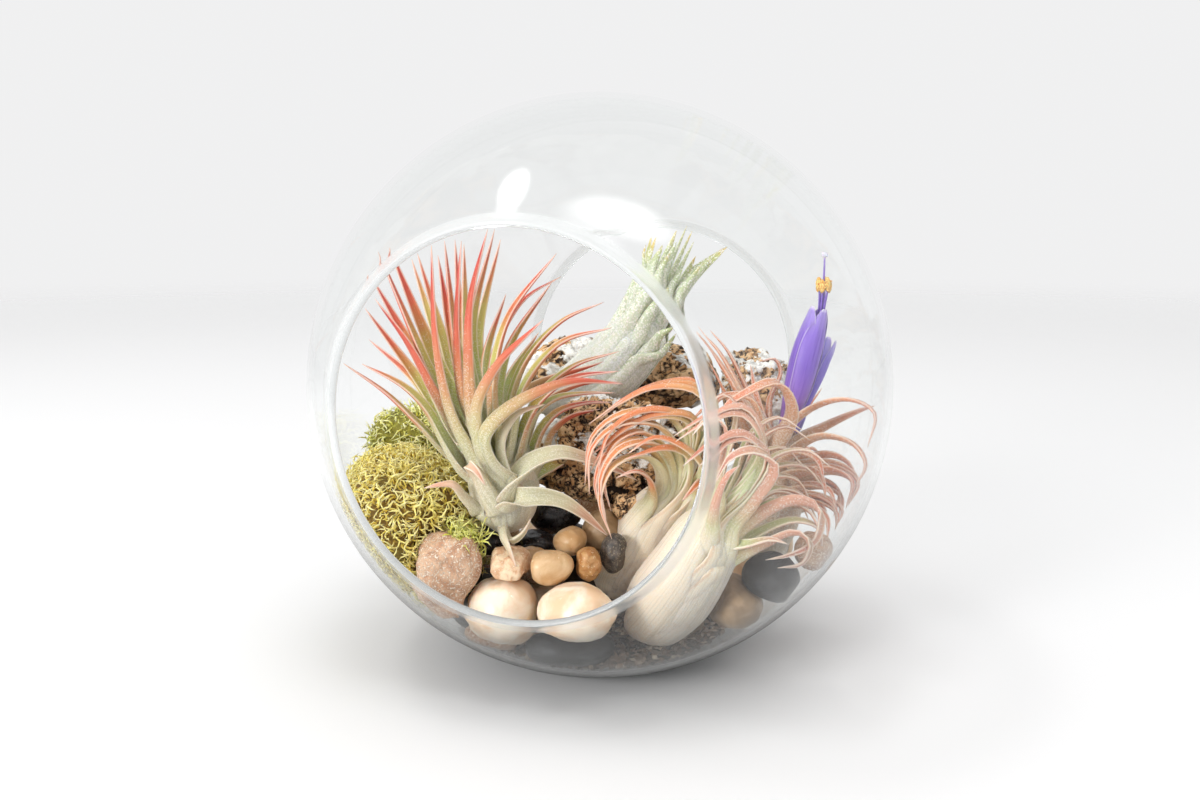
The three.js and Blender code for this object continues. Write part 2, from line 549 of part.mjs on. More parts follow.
function settle(stones, obstacles) {
  const all = [...stones, ...obstacles].map((lump) => ({ ...lump, at: vector(lump.place) }));
  const room = new THREE.Vector3(0, 0, CENTRE_HEIGHT);
  for (let round = 0; round < SETTLE_ROUNDS; round += 1) {
    for (const lump of all.filter(({ free }) => free)) {
      lump.at.z -= SINK_STEP;
      for (const other of all) {
        const apart = lump.at.clone().sub(other.at);
        const distance = apart.length();
        if (other === lump || distance === 0) continue;
        apart.divideScalar(distance);
        const short = reach(lump, apart) + reach(other, apart) - PRESS - distance;
        if (short > 0) {
          lump.at.addScaledVector(apart, other.free ? short / 2 : short);
          if (other.free) other.at.addScaledVector(apart, -short / 2);
        }
      }
      const outwards = lump.at.clone().sub(room);
      const limit = ROOM_RADIUS - reach(lump, outwards.clone().normalize());
      lump.at.copy(room).add(outwards.clampLength(0, limit));
      lump.at.z = Math.max(lump.at.z, ROOM_FLOOR + reach(lump, UP));
    }
  }
  return all.slice(0, stones.length).map((lump) => ({ ...lump, place: lump.at.toArray() }));
}

const bulbObstacles = [PLANT_LEFT, PLANT_BACK, PLANT_SMALL, PLANT_LARGE, PLANT_RIGHT].flatMap(({ bulb }) => (
  bulb.map(([x, y, z, radius]) => ({ place: [x, y, z], size: [radius, radius, radius] }))));
const stones = settle([...STONES, ...bedStones()], [...bulbObstacles, ...Object.values(CORK_PIECES)]);
for (const stone of stones) {
  const finish = { color: STONE_COLOURS[stone.colour], roughness: 0.6, metalness: 0 };
  plant(stone.name, finish, (spare) => lumpSolid(stone, spare));
}

const CORK_CHIP = { place: [8, -21, 48], size: [4.5, 4, 3.5], seed: 5 };
plant('cork_chip', CORK_FINISH, (spare) => lumpSolid({ ...CORK_FORM, ...CORK_CHIP }, spare));

// Moss, packed against the glass on the left and trimmed by all that it lies on
const MOSS_CLUMPS = {
  moss_lime: { colour: '#a9b73f', place: [-37, -37, 43], size: [7, 6.5, 6], seed: 1 },
  moss_front: { colour: '#ab9f4a', place: [-56, -12, 38], size: [27, 36, 26], detail: 2, seed: 2 },
  moss_back: { colour: '#b3b64c', place: [-58, 24, 45], size: [24, 20, 26], detail: 2, seed: 3 },
};
for (const [name, { colour, ...clump }] of Object.entries(MOSS_CLUMPS)) {
  const finish = { color: colour, roughness: 1, metalness: 0 };
  plant(name, finish, (spare) => lumpSolid({ relief: 0.07, waves: 6, ...clump }, spare));
}

export default terrarium;
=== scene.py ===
# Glass plant terrarium: a blown globe with two mouths, planted over pebbles with moss,
# cork bark, five air plants and a violet bloom. Metres, +Z up, the front mouth faces -Y.

import json
import math
import random

import bmesh
import bpy
import numpy as np
from mathutils import Matrix, Vector
from mathutils.bvhtree import BVHTree


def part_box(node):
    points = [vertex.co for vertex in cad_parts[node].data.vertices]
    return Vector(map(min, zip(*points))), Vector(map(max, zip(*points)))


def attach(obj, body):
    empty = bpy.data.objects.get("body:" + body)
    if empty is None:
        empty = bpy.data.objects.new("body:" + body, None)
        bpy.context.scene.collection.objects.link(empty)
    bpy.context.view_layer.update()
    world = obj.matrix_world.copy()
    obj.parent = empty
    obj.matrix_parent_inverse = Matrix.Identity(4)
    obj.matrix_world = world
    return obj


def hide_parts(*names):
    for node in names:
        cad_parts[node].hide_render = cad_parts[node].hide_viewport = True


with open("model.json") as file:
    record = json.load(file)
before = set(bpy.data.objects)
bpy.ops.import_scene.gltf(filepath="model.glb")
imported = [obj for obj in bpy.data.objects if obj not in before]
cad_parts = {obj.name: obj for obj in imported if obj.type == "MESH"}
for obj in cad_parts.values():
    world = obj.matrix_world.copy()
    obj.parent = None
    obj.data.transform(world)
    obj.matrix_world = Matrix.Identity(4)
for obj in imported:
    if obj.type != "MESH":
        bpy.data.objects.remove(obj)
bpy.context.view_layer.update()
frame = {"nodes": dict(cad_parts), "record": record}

# Camera
# A 30 mm view from the left of the front mouth and a little above it, aimed just over
# the globe's middle, with the globe filling three quarters of the frame's height.
MM = 0.001
globe_low, globe_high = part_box("glass_globe")
globe_radius = (globe_high.x - globe_low.x) / 2
globe_centre = Vector((0, 0, globe_high.z - globe_radius))
view_turn = math.radians(18.4)
view_rise = math.radians(9.9)
view_back = 290.37 * MM
view_lift = 4.05 * MM

ahead = Vector((
    -math.sin(view_turn) * math.cos(view_rise),
    math.cos(view_turn) * math.cos(view_rise),
    -math.sin(view_rise),
))
aside = Vector((math.cos(view_turn), math.sin(view_turn), 0))
overhead = aside.cross(ahead)
camera_data = bpy.data.cameras.new("camera")
camera_data.lens = 29.73
camera_data.sensor_width = 36
camera_data.clip_start = 0.01
camera = bpy.data.objects.new("camera", camera_data)
camera.matrix_world = Matrix((aside, overhead, -ahead)).transposed().to_4x4()
camera.location = globe_centre - overhead * view_lift - ahead * view_back
bpy.context.scene.collection.objects.link(camera)
bpy.context.scene.camera = camera


# Studio
# A pale round table that fades into the pale surround, with a strip softbox at the upper
# left and broad ones overhead and in front. None of it is part of the object.
class Value:
    """What a node puts out. Reckoning with it adds the nodes that work out the result."""

    def __init__(self, node, output=0):
        self.socket = node.outputs[output]
        self.tree = node.id_data

    def __add__(self, other):
        return maths("ADD", self, other)

    def __sub__(self, other):
        return maths("SUBTRACT", self, other)

    def __rsub__(self, other):
        return maths("SUBTRACT", other, self)

    def __mul__(self, other):
        return maths("MULTIPLY", self, other)

    def __rtruediv__(self, other):
        return maths("DIVIDE", other, self)

    def ramp(self, low, high, out_low=0.0, out_high=1.0, ease="SMOOTHSTEP"):
        """The value carried from one range to another, eased at both ends."""
        inputs = {0: self, 1: low, 2: high, 3: out_low, 4: out_high}
        return take(self.tree, "ShaderNodeMapRange", inputs, interpolation_type=ease)


def from_hex(code):
    values = [int(code[i:i + 2], 16) / 255 for i in (1, 3, 5)]
    return [v / 12.92 if v <= 0.04045 else ((v + 0.055) / 1.055) ** 2.4 for v in values] + [1]


def plug(node, inputs):
    """Fills a node's inputs with plain values or hex colours, or links them to values."""
    for key, source in inputs.items():
        if isinstance(source, Value):
            node.id_data.links.new(source.socket, node.inputs[key])
        else:
            is_hex = isinstance(source, str) and source.startswith("#")
            node.inputs[key].default_value = from_hex(source) if is_hex else source


def add_node(tree, kind, inputs=None, **settings):
    node = tree.nodes.new(kind)
    for key, value in settings.items():
        setattr(node, key, value)
    plug(node, inputs or {})
    return node


def take(tree, kind, inputs=None, output=0, **settings):
    """Adds a node and gives back the value that it puts out."""
    return Value(add_node(tree, kind, inputs, **settings), output)


def maths(operation, *terms):
    tree = next(term.tree for term in terms if isinstance(term, Value))
    return take(tree, "ShaderNodeMath", dict(enumerate(terms)), operation=operation)


def blended(share, a, b):
    """Two colours mixed by a share."""
    return take(share.tree, "ShaderNodeMix", {0: share, 6: a, 7: b}, 2, data_type="RGBA")


def mixed(share, a, b):
    """Two shaders mixed by a share."""
    return take(share.tree, "ShaderNodeMixShader", {0: share, 1: a, 2: b})


def length_of(vector):
    return take(vector.tree, "ShaderNodeVectorMath", {0: vector}, "Value", operation="LENGTH")


def own_place(tree):
    return take(tree, "ShaderNodeTexCoord", output="Object")


def new_material(name):
    material = bpy.data.materials.new(name)
    material.use_nodes = True
    return material, material.node_tree.nodes["Principled BSDF"]


def new_object(name, vertices, faces):
    mesh = bpy.data.meshes.new(name)
    mesh.from_pydata([tuple(v) for v in vertices], [], [tuple(f) for f in faces])
    mesh.shade_smooth()
    made = bpy.data.objects.new(name, mesh)
    bpy.context.scene.collection.objects.link(made)
    return made


table_radius = 2.4
table_fade = 0.5
mirror_near, mirror_far, mirror_share = 0.06, 0.25, 0.6
table_turns = [math.radians(5 * step) for step in range(72)]
table_rim = [(table_radius * math.cos(turn), table_radius * math.sin(turn), 0) for turn in table_turns]
table = new_object("table", table_rim, [range(72)])
table_paint, table_look = new_material("table_paint")
table_tree = table_paint.node_tree
table_reach = length_of(own_place(table_tree))
# Painted shade: seen only in reflections, the table turns dark grey near the globe, by up to mirror_share.
table_mirrored = take(table_tree, "ShaderNodeLightPath", output="Is Reflection Ray")
table_shade = table_reach.ramp(mirror_far, mirror_near, 0.0, mirror_share, "LINEAR") * table_mirrored
plug(table_look, {"Base Color": blended(table_shade, "#ECECEC", "#4A4744"),
                  "Roughness": 0.6, "Specular IOR Level": 0.15})
table_clear = take(table_tree, "ShaderNodeBsdfTransparent")
plug(table_tree.nodes["Material Output"], {
    0: mixed(table_reach.ramp(table_fade, table_radius), Value(table_look), table_clear)})
table.data.materials.append(table_paint)

world = bpy.data.worlds.new("studio")
world.use_nodes = True
plug(world.node_tree.nodes["Background"], {"Color": (0.9, 0.9, 0.904, 1), "Strength": 0.97})
bpy.context.scene.world = world


def softbox(name, place, size, power):
    """An area light that faces the globe and fades towards its edges."""
    data = bpy.data.lights.new(name, "AREA")
    data.shape = "RECTANGLE"
    data.size, data.size_y = size
    data.energy = power
    data.use_nodes = True
    spot = take(data.node_tree, "ShaderNodeNewGeometry", output="Parametric")
    offset = take(data.node_tree, "ShaderNodeVectorMath", {0: spot, 1: (-0.5, -0.5, 0)})
    plug(data.node_tree.nodes["Emission"], {"Strength": length_of(offset).ramp(0.5, 0.18, 0.0, 2.4)})
    back = (Vector(place) - globe_centre).normalized()
    wide = (Vector((1, 0, 0)) - back * back.x).normalized()
    light = bpy.data.objects.new(name, data)
    light.matrix_world = Matrix((wide, back.cross(wide), back)).transposed().to_4x4()
    light.location = place
    bpy.context.scene.collection.objects.link(light)


softbox("softbox_strip", (-0.575, -0.18, 1.45), (0.27, 0.6), 2.8)
softbox("softbox_over", (0.3, -0.4, 1.45), (1.1, 0.5), 4.4)
softbox("softbox_front", (-0.5, -1.0, 0.42), (0.5, 0.4), 8)
bpy.context.scene.view_settings.view_transform = "Standard"


# Glass globe
# Clear blown glass under 2 mm thick, with two round mouths whose lips were rounded in
# the flame, and a foot pressed flat. One closed shell, turned about the mouths' axis.
wall = 1.55 * MM
lip_radius = 0.98 * MM
mouth_radius = 46.85 * MM
floor_thickness = 2.4 * MM
foot_softness = 1.6 * MM
wall_steps = 42
lip_steps = 14
turns = 320
lip_start, lip_full = 65.9 * MM, 66.5 * MM
foot_low, foot_high = 2 * MM, 30 * MM
clear_after_bounces = 3.5


def not_under(values, level, softness):
    """Lifts what lies under a level up to it, with a soft edge."""
    return (values + level + np.sqrt((values - level) ** 2 + softness ** 2)) / 2


def ring_faces(rows, around, first=0, closed=False):
    """Quads between rows of points that each run all the way round."""
    i = np.arange(rows if closed else rows - 1)[:, None]
    j = np.arange(around)[None]
    k = (j + 1) % around
    here = first + i * around
    there = first + (i + 1) % rows * around
    return np.stack([here + j, here + k, there + k, there + j], axis=-1).reshape(-1, 4).tolist()


def globe_profile():
    """The wall's outside, one lip, its inside and the other lip: reach and place along Y."""
    middle = globe_radius - wall / 2
    inner = globe_radius - wall
    mouth_angle = math.asin(mouth_radius / middle)
    inset = 1.05 * lip_radius / globe_radius
    sweep = np.linspace(math.pi - mouth_angle - inset, mouth_angle + inset, wall_steps)
    bead = mouth_angle - np.linspace(0, math.pi, lip_steps + 2)[1:-1]
    lips = [(middle * math.sin(mouth_angle) + lip_radius * np.sin(start),
             side * middle * math.cos(mouth_angle) + lip_radius * np.cos(start))
            for side, start in ((1, bead), (-1, bead + 2 * (math.pi - mouth_angle)))]
    return [(globe_radius * np.sin(sweep), globe_radius * np.cos(sweep)), lips[0],
            (inner * np.sin(sweep[::-1]), inner * np.cos(sweep[::-1])), lips[1]]


def glass_globe():
    rings = []
    angle = np.linspace(0, 2 * math.pi, turns, endpoint=False)
    for index, (reach, along) in enumerate(globe_profile()):
        x = reach[:, None] * np.sin(angle)
        z = reach[:, None] * np.cos(angle) + globe_centre.z
        y = np.repeat(along[:, None], turns, axis=1)
        z = not_under(z, floor_thickness if index == 2 else 0, foot_softness)
        rings.append(np.stack([x, y, z], axis=2))
    rings = np.concatenate(rings)
    return new_object("glass_shell", rings.reshape(-1, 3), ring_faces(len(rings), turns, closed=True))


def points_of(mesh):
    points = np.empty(len(mesh.vertices) * 3, np.float32)
    mesh.vertices.foreach_get("co", points)
    return points.reshape(-1, 3)


def outward(made):
    """Turns a closed mesh the right way round if its faces point inwards."""
    mesh = made.data
    mesh.calc_loop_triangles()
    corners = np.empty(len(mesh.loop_triangles) * 3, np.int32)
    mesh.loop_triangles.foreach_get("vertices", corners)
    a, b, c = points_of(mesh)[corners.reshape(-1, 3)].transpose(1, 0, 2)
    if np.einsum("ij,ij->i", a, np.cross(b, c)).sum() < 0:
        mesh.flip_normals()
    return made


glass_shell = outward(glass_globe())
clear_glass, glass_look = new_material("clear_glass")
glass_tree = clear_glass.node_tree
glass_place = add_node(glass_tree, "ShaderNodeSeparateXYZ", {0: own_place(glass_tree)})
glass_path = add_node(glass_tree, "ShaderNodeLightPath")
glass_frost = maths("ABSOLUTE", Value(glass_place, "Y")).ramp(lip_start, lip_full, 0, 0.25)
plug(glass_look, {"Base Color": (0.987, 0.995, 0.992, 1), "Roughness": glass_frost, "IOR": 1.36,
                  "Transmission Weight": 1})
glass_graze = take(glass_tree, "ShaderNodeLayerWeight", output="Facing").ramp(0.3, 0.95)
glass_foot = Value(glass_place, "Z").ramp(foot_high, foot_low, ease="LINEAR")
glass_shadow = take(glass_tree, "ShaderNodeBsdfTransparent", {"Color": blended(
    maths("MAXIMUM", glass_graze, glass_foot), (0.97, 0.975, 0.975, 1), (0.5, 0.51, 0.51, 1))})
glass_edge = take(glass_tree, "ShaderNodeBsdfTransparent", {"Color": (0.93, 0.94, 0.937, 1)})
glass_milk = take(glass_tree, "ShaderNodeBsdfDiffuse", {"Color": (0.74, 0.77, 0.765, 1)})
glass_shader = mixed(maths("GREATER_THAN", Value(glass_path, "Ray Depth"), clear_after_bounces),
                     Value(glass_look), glass_edge)
glass_shader = mixed(glass_frost * 1.15, glass_shader, glass_milk)
glass_dimmed = maths("MAXIMUM", Value(glass_path, "Is Shadow Ray"), Value(glass_path, "Is Diffuse Ray"))
plug(glass_tree.nodes["Material Output"], {0: mixed(glass_dimmed, glass_shader, glass_shadow)})
glass_shell.data.materials.append(clear_glass)
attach(glass_shell, "root")
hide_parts("glass_globe")


# Pebbles
# Tumbled river stones and pieces of granite, forty in all. Each keeps its place and form
# in the bed: a fine ball is drawn out to it, worn round and skinned.
def floats(*labels):
    return dict.fromkeys(labels, "Float")


def new_tree(name, kind, inputs, outputs):
    """A node tree with named sockets, the values put into it, and its output node."""
    tree = bpy.data.node_groups.new(name, kind)
    for direction, sockets in (("INPUT", inputs), ("OUTPUT", outputs)):
        for label, form in sockets.items():
            tree.interface.new_socket(label, in_out=direction, socket_type="NodeSocket" + form)
    given = tree.nodes.new("NodeGroupInput")
    return tree, {label: Value(given, label) for label in inputs}, tree.nodes.new("NodeGroupOutput")


def new_skin(name, inputs):
    inputs = {"Geometry": "Geometry", **inputs, "Finish": "Material"}
    return new_tree(name, "GeometryNodeTree", inputs, {"Geometry": "Geometry"})


def painted(given, geometry):
    return take(geometry.tree, "GeometryNodeSetMaterial", {"Geometry": geometry, "Material": given["Finish"]})


def raised(given, rise):
    """The piece's surface moved out along its normals."""
    normal = take(rise.tree, "GeometryNodeInputNormal")
    shift = take(rise.tree, "ShaderNodeVectorMath", {0: normal, "Scale": rise}, operation="SCALE")
    return take(rise.tree, "GeometryNodeSetPosition", {"Geometry": given["Geometry"], "Offset": shift})


def noise(place, size, detail=2.0, rough=0.5, output=0, seed=None, **inputs):
    """Clouds of a size in metres, other ones for each seed."""
    inputs |= {"Vector": place, "Scale": 1 / size, "Detail": detail, "Roughness": rough}
    if seed is not None:
        inputs["W"] = seed
    return take(place.tree, "ShaderNodeTexNoise", inputs, output,
                noise_dimensions="3D" if seed is None else "4D")


def cells(place, size):
    """Cells of a size in metres: how far each point is from its cell's middle, and a share
    drawn for each cell."""
    node = add_node(place.tree, "ShaderNodeTexVoronoi", {"Vector": place, "Scale": 1 / size})
    family = "Shader" if place.tree.bl_idname == "ShaderNodeTree" else "Function"
    pick = take(place.tree, family + "NodeSeparateColor", {0: Value(node, "Color")})
    return Value(node, "Distance"), pick


def cell_edges(place, size):
    return take(place.tree, "ShaderNodeTexVoronoi", {"Vector": place, "Scale": 1 / size}, "Distance",
                feature="DISTANCE_TO_EDGE")


def bumped(look, height, strength, depth):
    """Gives a shader relief with a depth in millimetres."""
    plug(look, {"Normal": take(look.id_data, "ShaderNodeBump", {
        "Height": height, "Strength": strength, "Distance": depth * MM})})


def glowing(look, share, reach, depth):
    """Lets light into a shader and out again some millimetres on."""
    plug(look, {"Subsurface Weight": share, "Subsurface Radius": reach, "Subsurface Scale": depth * MM})


def skinned(made, tree, **values):
    """Runs a geometry tree on a piece, with its named inputs, and keeps the plain mesh."""
    modifier = made.modifiers.new("skin", "NODES")
    modifier.node_group = tree
    for item in tree.interface.items_tree:
        key = item.name.lower().replace(" ", "_")
        if item.in_out == "INPUT" and key in values:
            modifier[item.identifier] = values[key]
    graph = bpy.context.evaluated_depsgraph_get()
    mesh = bpy.data.meshes.new_from_object(made.evaluated_get(graph))
    made.modifiers.clear()
    made.data = mesh
    return made


def new_ball(name, fineness, radius=1, form=(1, 1, 1)):
    made = new_object(name, [], [])
    shape = bmesh.new()
    bmesh.ops.create_icosphere(
        shape, subdivisions=fineness, radius=radius, matrix=Matrix.Diagonal((*form, 1)))
    shape.to_mesh(made.data)
    shape.free()
    return made


def rounded_form(node, name, fineness, wear):
    """A fine closed ball drawn out to a frame node's form, its edges worn round."""
    source = frame["nodes"][node].data
    surface = BVHTree.FromPolygons([v.co for v in source.vertices], [p.vertices for p in source.polygons])
    low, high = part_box(node)
    middle = (low + high) / 2
    made = new_ball(name, fineness)
    rays = np.array([v.co.normalized() for v in made.data.vertices])
    reach = np.array([(surface.ray_cast(middle, Vector(ray))[3] or 0) for ray in rays])
    edges = np.array([e.vertices[:] for e in made.data.edges])
    neighbours = np.bincount(edges.ravel(), minlength=len(rays))
    for _ in range(wear):
        total = np.bincount(edges[:, 0], reach[edges[:, 1]], len(rays))
        total += np.bincount(edges[:, 1], reach[edges[:, 0]], len(rays))
        reach = (reach + total / neighbours) / 2
    made.data.vertices.foreach_set("co", (rays * reach[:, None] + np.array(middle)).ravel())
    made.data.shade_smooth()
    return made


stone_skin, skin, skin_out = new_skin("pebble_skin", floats(
    "Lump Size", "Lump Height", "Pit Size", "Pit Depth", "Facet Height", "Seed"))
skin_place = take(stone_skin, "GeometryNodeInputPosition")
skin_lumps = noise(skin_place, skin["Lump Size"], 5.0, 0.45, seed=skin["Seed"])
skin_dent = cells(skin_place, skin["Pit Size"])[0].ramp(0.42, 0.12) * skin_lumps.ramp(0.45, 0.6)
skin_facets = take(stone_skin, "ShaderNodeTexVoronoi", {
    "Vector": skin_place, "W": skin["Seed"], "Scale": 0.5 / skin["Lump Size"]}, voronoi_dimensions="4D")
skin_rise = (skin_lumps - 0.5) * skin["Lump Height"] + (0.5 - skin_facets) * skin["Facet Height"]
skin_rise = skin_rise - skin_dent * skin["Pit Depth"]
plug(skin_out, {0: painted(skin, raised(skin, skin_rise))})

# The grain that all the stones share: broad patches, fine specks, and their relief
mineral, grain, grain_out = new_tree(
    "mineral_grain", "ShaderNodeTree", floats("Patch Size", "Speck Size", "Speck Share"),
    floats("Patches", "Specks", "Height"))
grain_patch = noise(own_place(mineral), grain["Patch Size"], 6.0, 0.55, Distortion=0.6)
grain_fine = noise(own_place(mineral), grain["Speck Size"], 4.0, 0.65)
grain_edge = 0.7 - grain["Speck Share"] * 0.5
grain_speck = grain_fine.ramp(grain_edge, grain_edge + 0.05)
plug(grain_out, {"Patches": grain_patch.ramp(0.35, 0.65), "Specks": grain_speck,
                 "Height": grain_fine + grain_speck * 0.5})


def stone_finish(name, body, patch, speck, speck_share, speck_size, patch_size, rough, relief, glow=0.0):
    material, look = new_material(name)
    mottle = add_node(look.id_data, "ShaderNodeGroup", {
        "Patch Size": patch_size * MM, "Speck Size": speck_size * MM, "Speck Share": speck_share},
        node_tree=mineral)
    patches = Value(mottle, "Patches")
    colour = blended(Value(mottle, "Specks"), blended(patches, body, patch), speck)
    plug(look, {"Base Color": colour, "Roughness": patches.ramp(0.0, 1.0, rough, rough + 0.12)})
    bumped(look, Value(mottle, "Height"), relief, 0.15)
    glowing(look, glow, (1.0, 0.6, 0.35), 2)
    return material


# Body, patch and speck colours, share of specks, speck and patch size in millimetres,
# roughness, relief and glow
stone_looks = {
    "cream": ("#F5E6D2", "#E8C6A2", "#FBF1E2", 0.08, 1.6, 7, 0.3, 0.2, 0.3),
    "slate": ("#2C2D31", "#1B1B1E", "#8A8074", 0.12, 0.5, 6, 0.4, 0.5),
    "tan": ("#E0C096", "#C49866", "#EBD6B4", 0.1, 0.9, 8, 0.3, 0.25, 0.2),
    "pink": ("#DCB696", "#B6886A", "#F4E2CE", 0.34, 0.5, 4.0, 0.7, 1.3),
    "brown": ("#B89976", "#8C704F", "#C9B190", 0.03, 0.4, 7, 0.38, 0.3),
    "grey": ("#64615F", "#484545", "#8A857F", 0.06, 0.45, 6, 0.45, 0.5),
    "black": ("#1D1C1E", "#2C2625", "#4A4545", 0.02, 0.45, 6, 0.22, 0.35),
    "pitted": ("#F0D6B4", "#CFA07A", "#F9EAD4", 0.2, 0.6, 2.4, 0.6, 0.9, 0.1),
    "quartz": ("#AA7440", "#C79B68", "#E6D2B4", 0.2, 0.6, 2.5, 0.3, 0.6, 0.2),
    "speckled": ("#413D3A", "#6A6057", "#A89A84", 0.25, 0.5, 2.2, 0.4, 0.7),
}
stone_finishes = {colour: stone_finish(colour.replace("pink", "granite") + "_stone", *values)
                  for colour, values in stone_looks.items()}

# Stones that look unlike the others of their colour
special_finish = {
    "stone_cream_pitted": "pitted", "stone_brown_quartz": "quartz", "stone_speckled": "speckled",
    "stone_grey_low": "slate", "stone_grey_right": "slate",
}
broken_stones = {"stone_pink_granite", "stone_cream_pitted"}
material_slots = {row["node"]: row["material_slot"] for row in frame["record"]["subparts"]}
stone_nodes = sorted(node for node in frame["nodes"] if node.startswith("stone_"))
for number, node in enumerate(stone_nodes):
    fineness = 6 if node in broken_stones else 4 if "bed" in node else 5
    wear = 6 if node in broken_stones else 4 ** (fineness - 3)
    pebble = rounded_form(node, node.replace("stone_", "pebble_"), fineness, wear)
    colour = material_slots[node].replace("stone_", "")
    rough = colour == "pink" or special_finish.get(node, "slate") != "slate"
    skinned(pebble, stone_skin, finish=stone_finishes[special_finish.get(node, colour)], seed=float(number),
            lump_size=(7 if rough else 13) * MM, lump_height=(2.6 if rough else 5) * MM, pit_size=3 * MM,
            pit_depth=(0.6 if rough else 0.0) * MM, facet_height=(4 if rough else 2) * MM)
    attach(pebble, "root")
    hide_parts(node)


# Cork bark
# Pieces of virgin cork: a cracked brown crust full of pores, with flakes of white lichen
# on the upper faces. Formed as the stones are, then cracked by a tree of its own.
cork_skin, bark, bark_out = new_skin("cork_skin", floats(
    "Rough Size", "Rough Height", "Crack Size", "Crack Depth", "Pore Size", "Pore Depth",
    "Flake Height", "Flake Share", "Seed"))
bark_place = take(cork_skin, "GeometryNodeInputPosition")
bark_up = take(cork_skin, "ShaderNodeSeparateXYZ", {0: take(cork_skin, "GeometryNodeInputNormal")}, "Z")


def bark_noise(fineness, detail, rough, shift, output=0):
    return take(cork_skin, "ShaderNodeTexNoise", {
        "Vector": bark_place, "W": bark["Seed"] + shift, "Scale": fineness / bark["Rough Size"],
        "Detail": detail, "Roughness": rough}, output, noise_dimensions="4D")


bark_bulk = bark_noise(1.0, 4.0, 0.55, 0.0)
bark_bend = take(cork_skin, "ShaderNodeVectorMath", {
    0: bark_noise(0.8, 3.0, 0.6, 3.0, "Color"), "Scale": 6 * MM}, operation="SCALE")
bark_bent = take(cork_skin, "ShaderNodeVectorMath", {0: bark_place, 1: bark_bend})
bark_ridge = maths("ABSOLUTE", bark_noise(1.7, 5.0, 0.6, 5.0) - 0.5)
bark_crack = cell_edges(bark_bent, bark["Crack Size"]).ramp(0.11, 0.0) * bark_bulk.ramp(0.56, 0.44)
bark_cell, bark_pick = cells(bark_bent, bark["Pore Size"])
bark_pore = bark_cell.ramp(0.5, 0.2) * bark_pick.ramp(0.66, 0.76)
bark_flake = bark_up * 0.06 + (bark_noise(0.65, 4.0, 0.56, 9.0) + bark["Flake Share"])
bark_flake = bark_flake.ramp(0.532, 0.552) * (1.0 - bark_crack)
bark_rise = (bark_bulk - 0.52) * bark["Rough Height"]
bark_rise = bark_rise - bark_ridge.ramp(0.07, 0.0) * (bark["Crack Depth"] * 0.5)
bark_rise = bark_rise - bark_crack * bark["Crack Depth"] - bark_pore * bark["Pore Depth"]
bark_skin = raised(bark, bark_rise + bark_flake * bark["Flake Height"])
bark_hollow = maths("MAXIMUM", bark_crack, bark_pore * 0.85)
bark_hollow = maths("MAXIMUM", bark_hollow, bark_ridge.ramp(0.035, 0.0))
for label, field in (("hollow", bark_hollow), ("flake", bark_flake)):
    bark_skin = take(cork_skin, "GeometryNodeStoreNamedAttribute", {
        "Geometry": bark_skin, "Name": label, "Value": field}, data_type="FLOAT")
plug(bark_out, {0: painted(bark, bark_skin)})


def attribute(tree, label):
    return take(tree, "ShaderNodeAttribute", output="Fac", attribute_name=label)


cork_crust, cork_look = new_material("cork_crust")
cork_tree = cork_crust.node_tree
cork_place = own_place(cork_tree)
cork_flake = attribute(cork_tree, "flake")
cork_hollow = attribute(cork_tree, "hollow")
cork_tone = noise(cork_place, 3.5 * MM, 6.0, 0.7)
cork_fine = noise(cork_place, 0.7 * MM, 4.0, 0.7)
cork_cell, cork_pick = cells(cork_place, 1.9 * MM)
cork_bent = take(cork_tree, "ShaderNodeVectorMath", {0: cork_place, 1: cork_fine * (2.4 * MM)})
cork_seam = cell_edges(cork_bent, 3.4 * MM).ramp(0.09, 0.02) * cork_tone.ramp(0.58, 0.48)
cork_speck = cork_cell.ramp(0.3, 0.2) * cork_pick.ramp(0.76, 0.8)
cork_dark = maths("MAXIMUM", cork_speck, cork_seam) * (cork_flake * -0.6 + 0.85)
# Painted shade: the hollows (cracks, pores and grooves) are coloured near black, less so under the lichen.
cork_hollow_shade = cork_hollow.ramp(0.15, 0.8) * (cork_flake * -0.7 + 1.0)
cork_colour = blended(cork_tone.ramp(0.35, 0.65), "#C8925C", "#F6CE9C")
cork_colour = blended(cork_pick.ramp(0.5, 0.9) * 0.55, cork_colour, "#F0D2A8")
cork_colour = blended(cork_pick.ramp(0.3, 0.0) * 0.6, cork_colour, "#80522E")
cork_colour = blended(cork_fine.ramp(0.55, 0.75), cork_colour, "#F2DAB6")
cork_white = blended(cork_fine.ramp(0.4, 0.58), "#F2EBE0", "#FFFFFC")
cork_colour = blended(cork_flake.ramp(0.35, 0.65), cork_colour, cork_white)
cork_colour = blended(cork_hollow_shade, blended(cork_dark, cork_colour, "#36241A"), "#2E1E14")
plug(cork_look, {"Base Color": cork_colour, "Roughness": 0.9})
bumped(cork_look, cork_fine + cork_flake * 0.6 - cork_dark, 0.9, 0.35)

cork_fineness = {"cork_front": 7, "cork_log": 6, "cork_stump": 6, "cork_base": 6, "cork_chip": 5}
for number, (node, fineness) in enumerate(cork_fineness.items()):
    cork = rounded_form(node, node + "_bark", fineness, 6)
    chip = node == "cork_chip"
    skinned(cork, cork_skin, finish=cork_crust, seed=3.0 * number, rough_size=(4 if chip else 9) * MM,
            rough_height=(2 if chip else 7) * MM, crack_size=(4 if chip else 9) * MM,
            crack_depth=(0.6 if chip else 1.5) * MM, pore_size=(1.1 if chip else 1.5) * MM,
            pore_depth=(0.3 if chip else 0.6) * MM, flake_height=(0.0 if chip else 0.5) * MM,
            flake_share=-0.2 if chip else 0.0)
    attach(cork, "root")
    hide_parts(node)


# Air plants
# Five tufted air plants without roots. Each leaf is a broad sheath that wraps the bulb and
# runs out into a channelled, tapering blade; all are dusted with the plant's pale scurf.
planting_turn = view_turn
leaf_stations = 40
sheath_thickness = 0.45
blade_thickness = 1.2
core_sides = 24


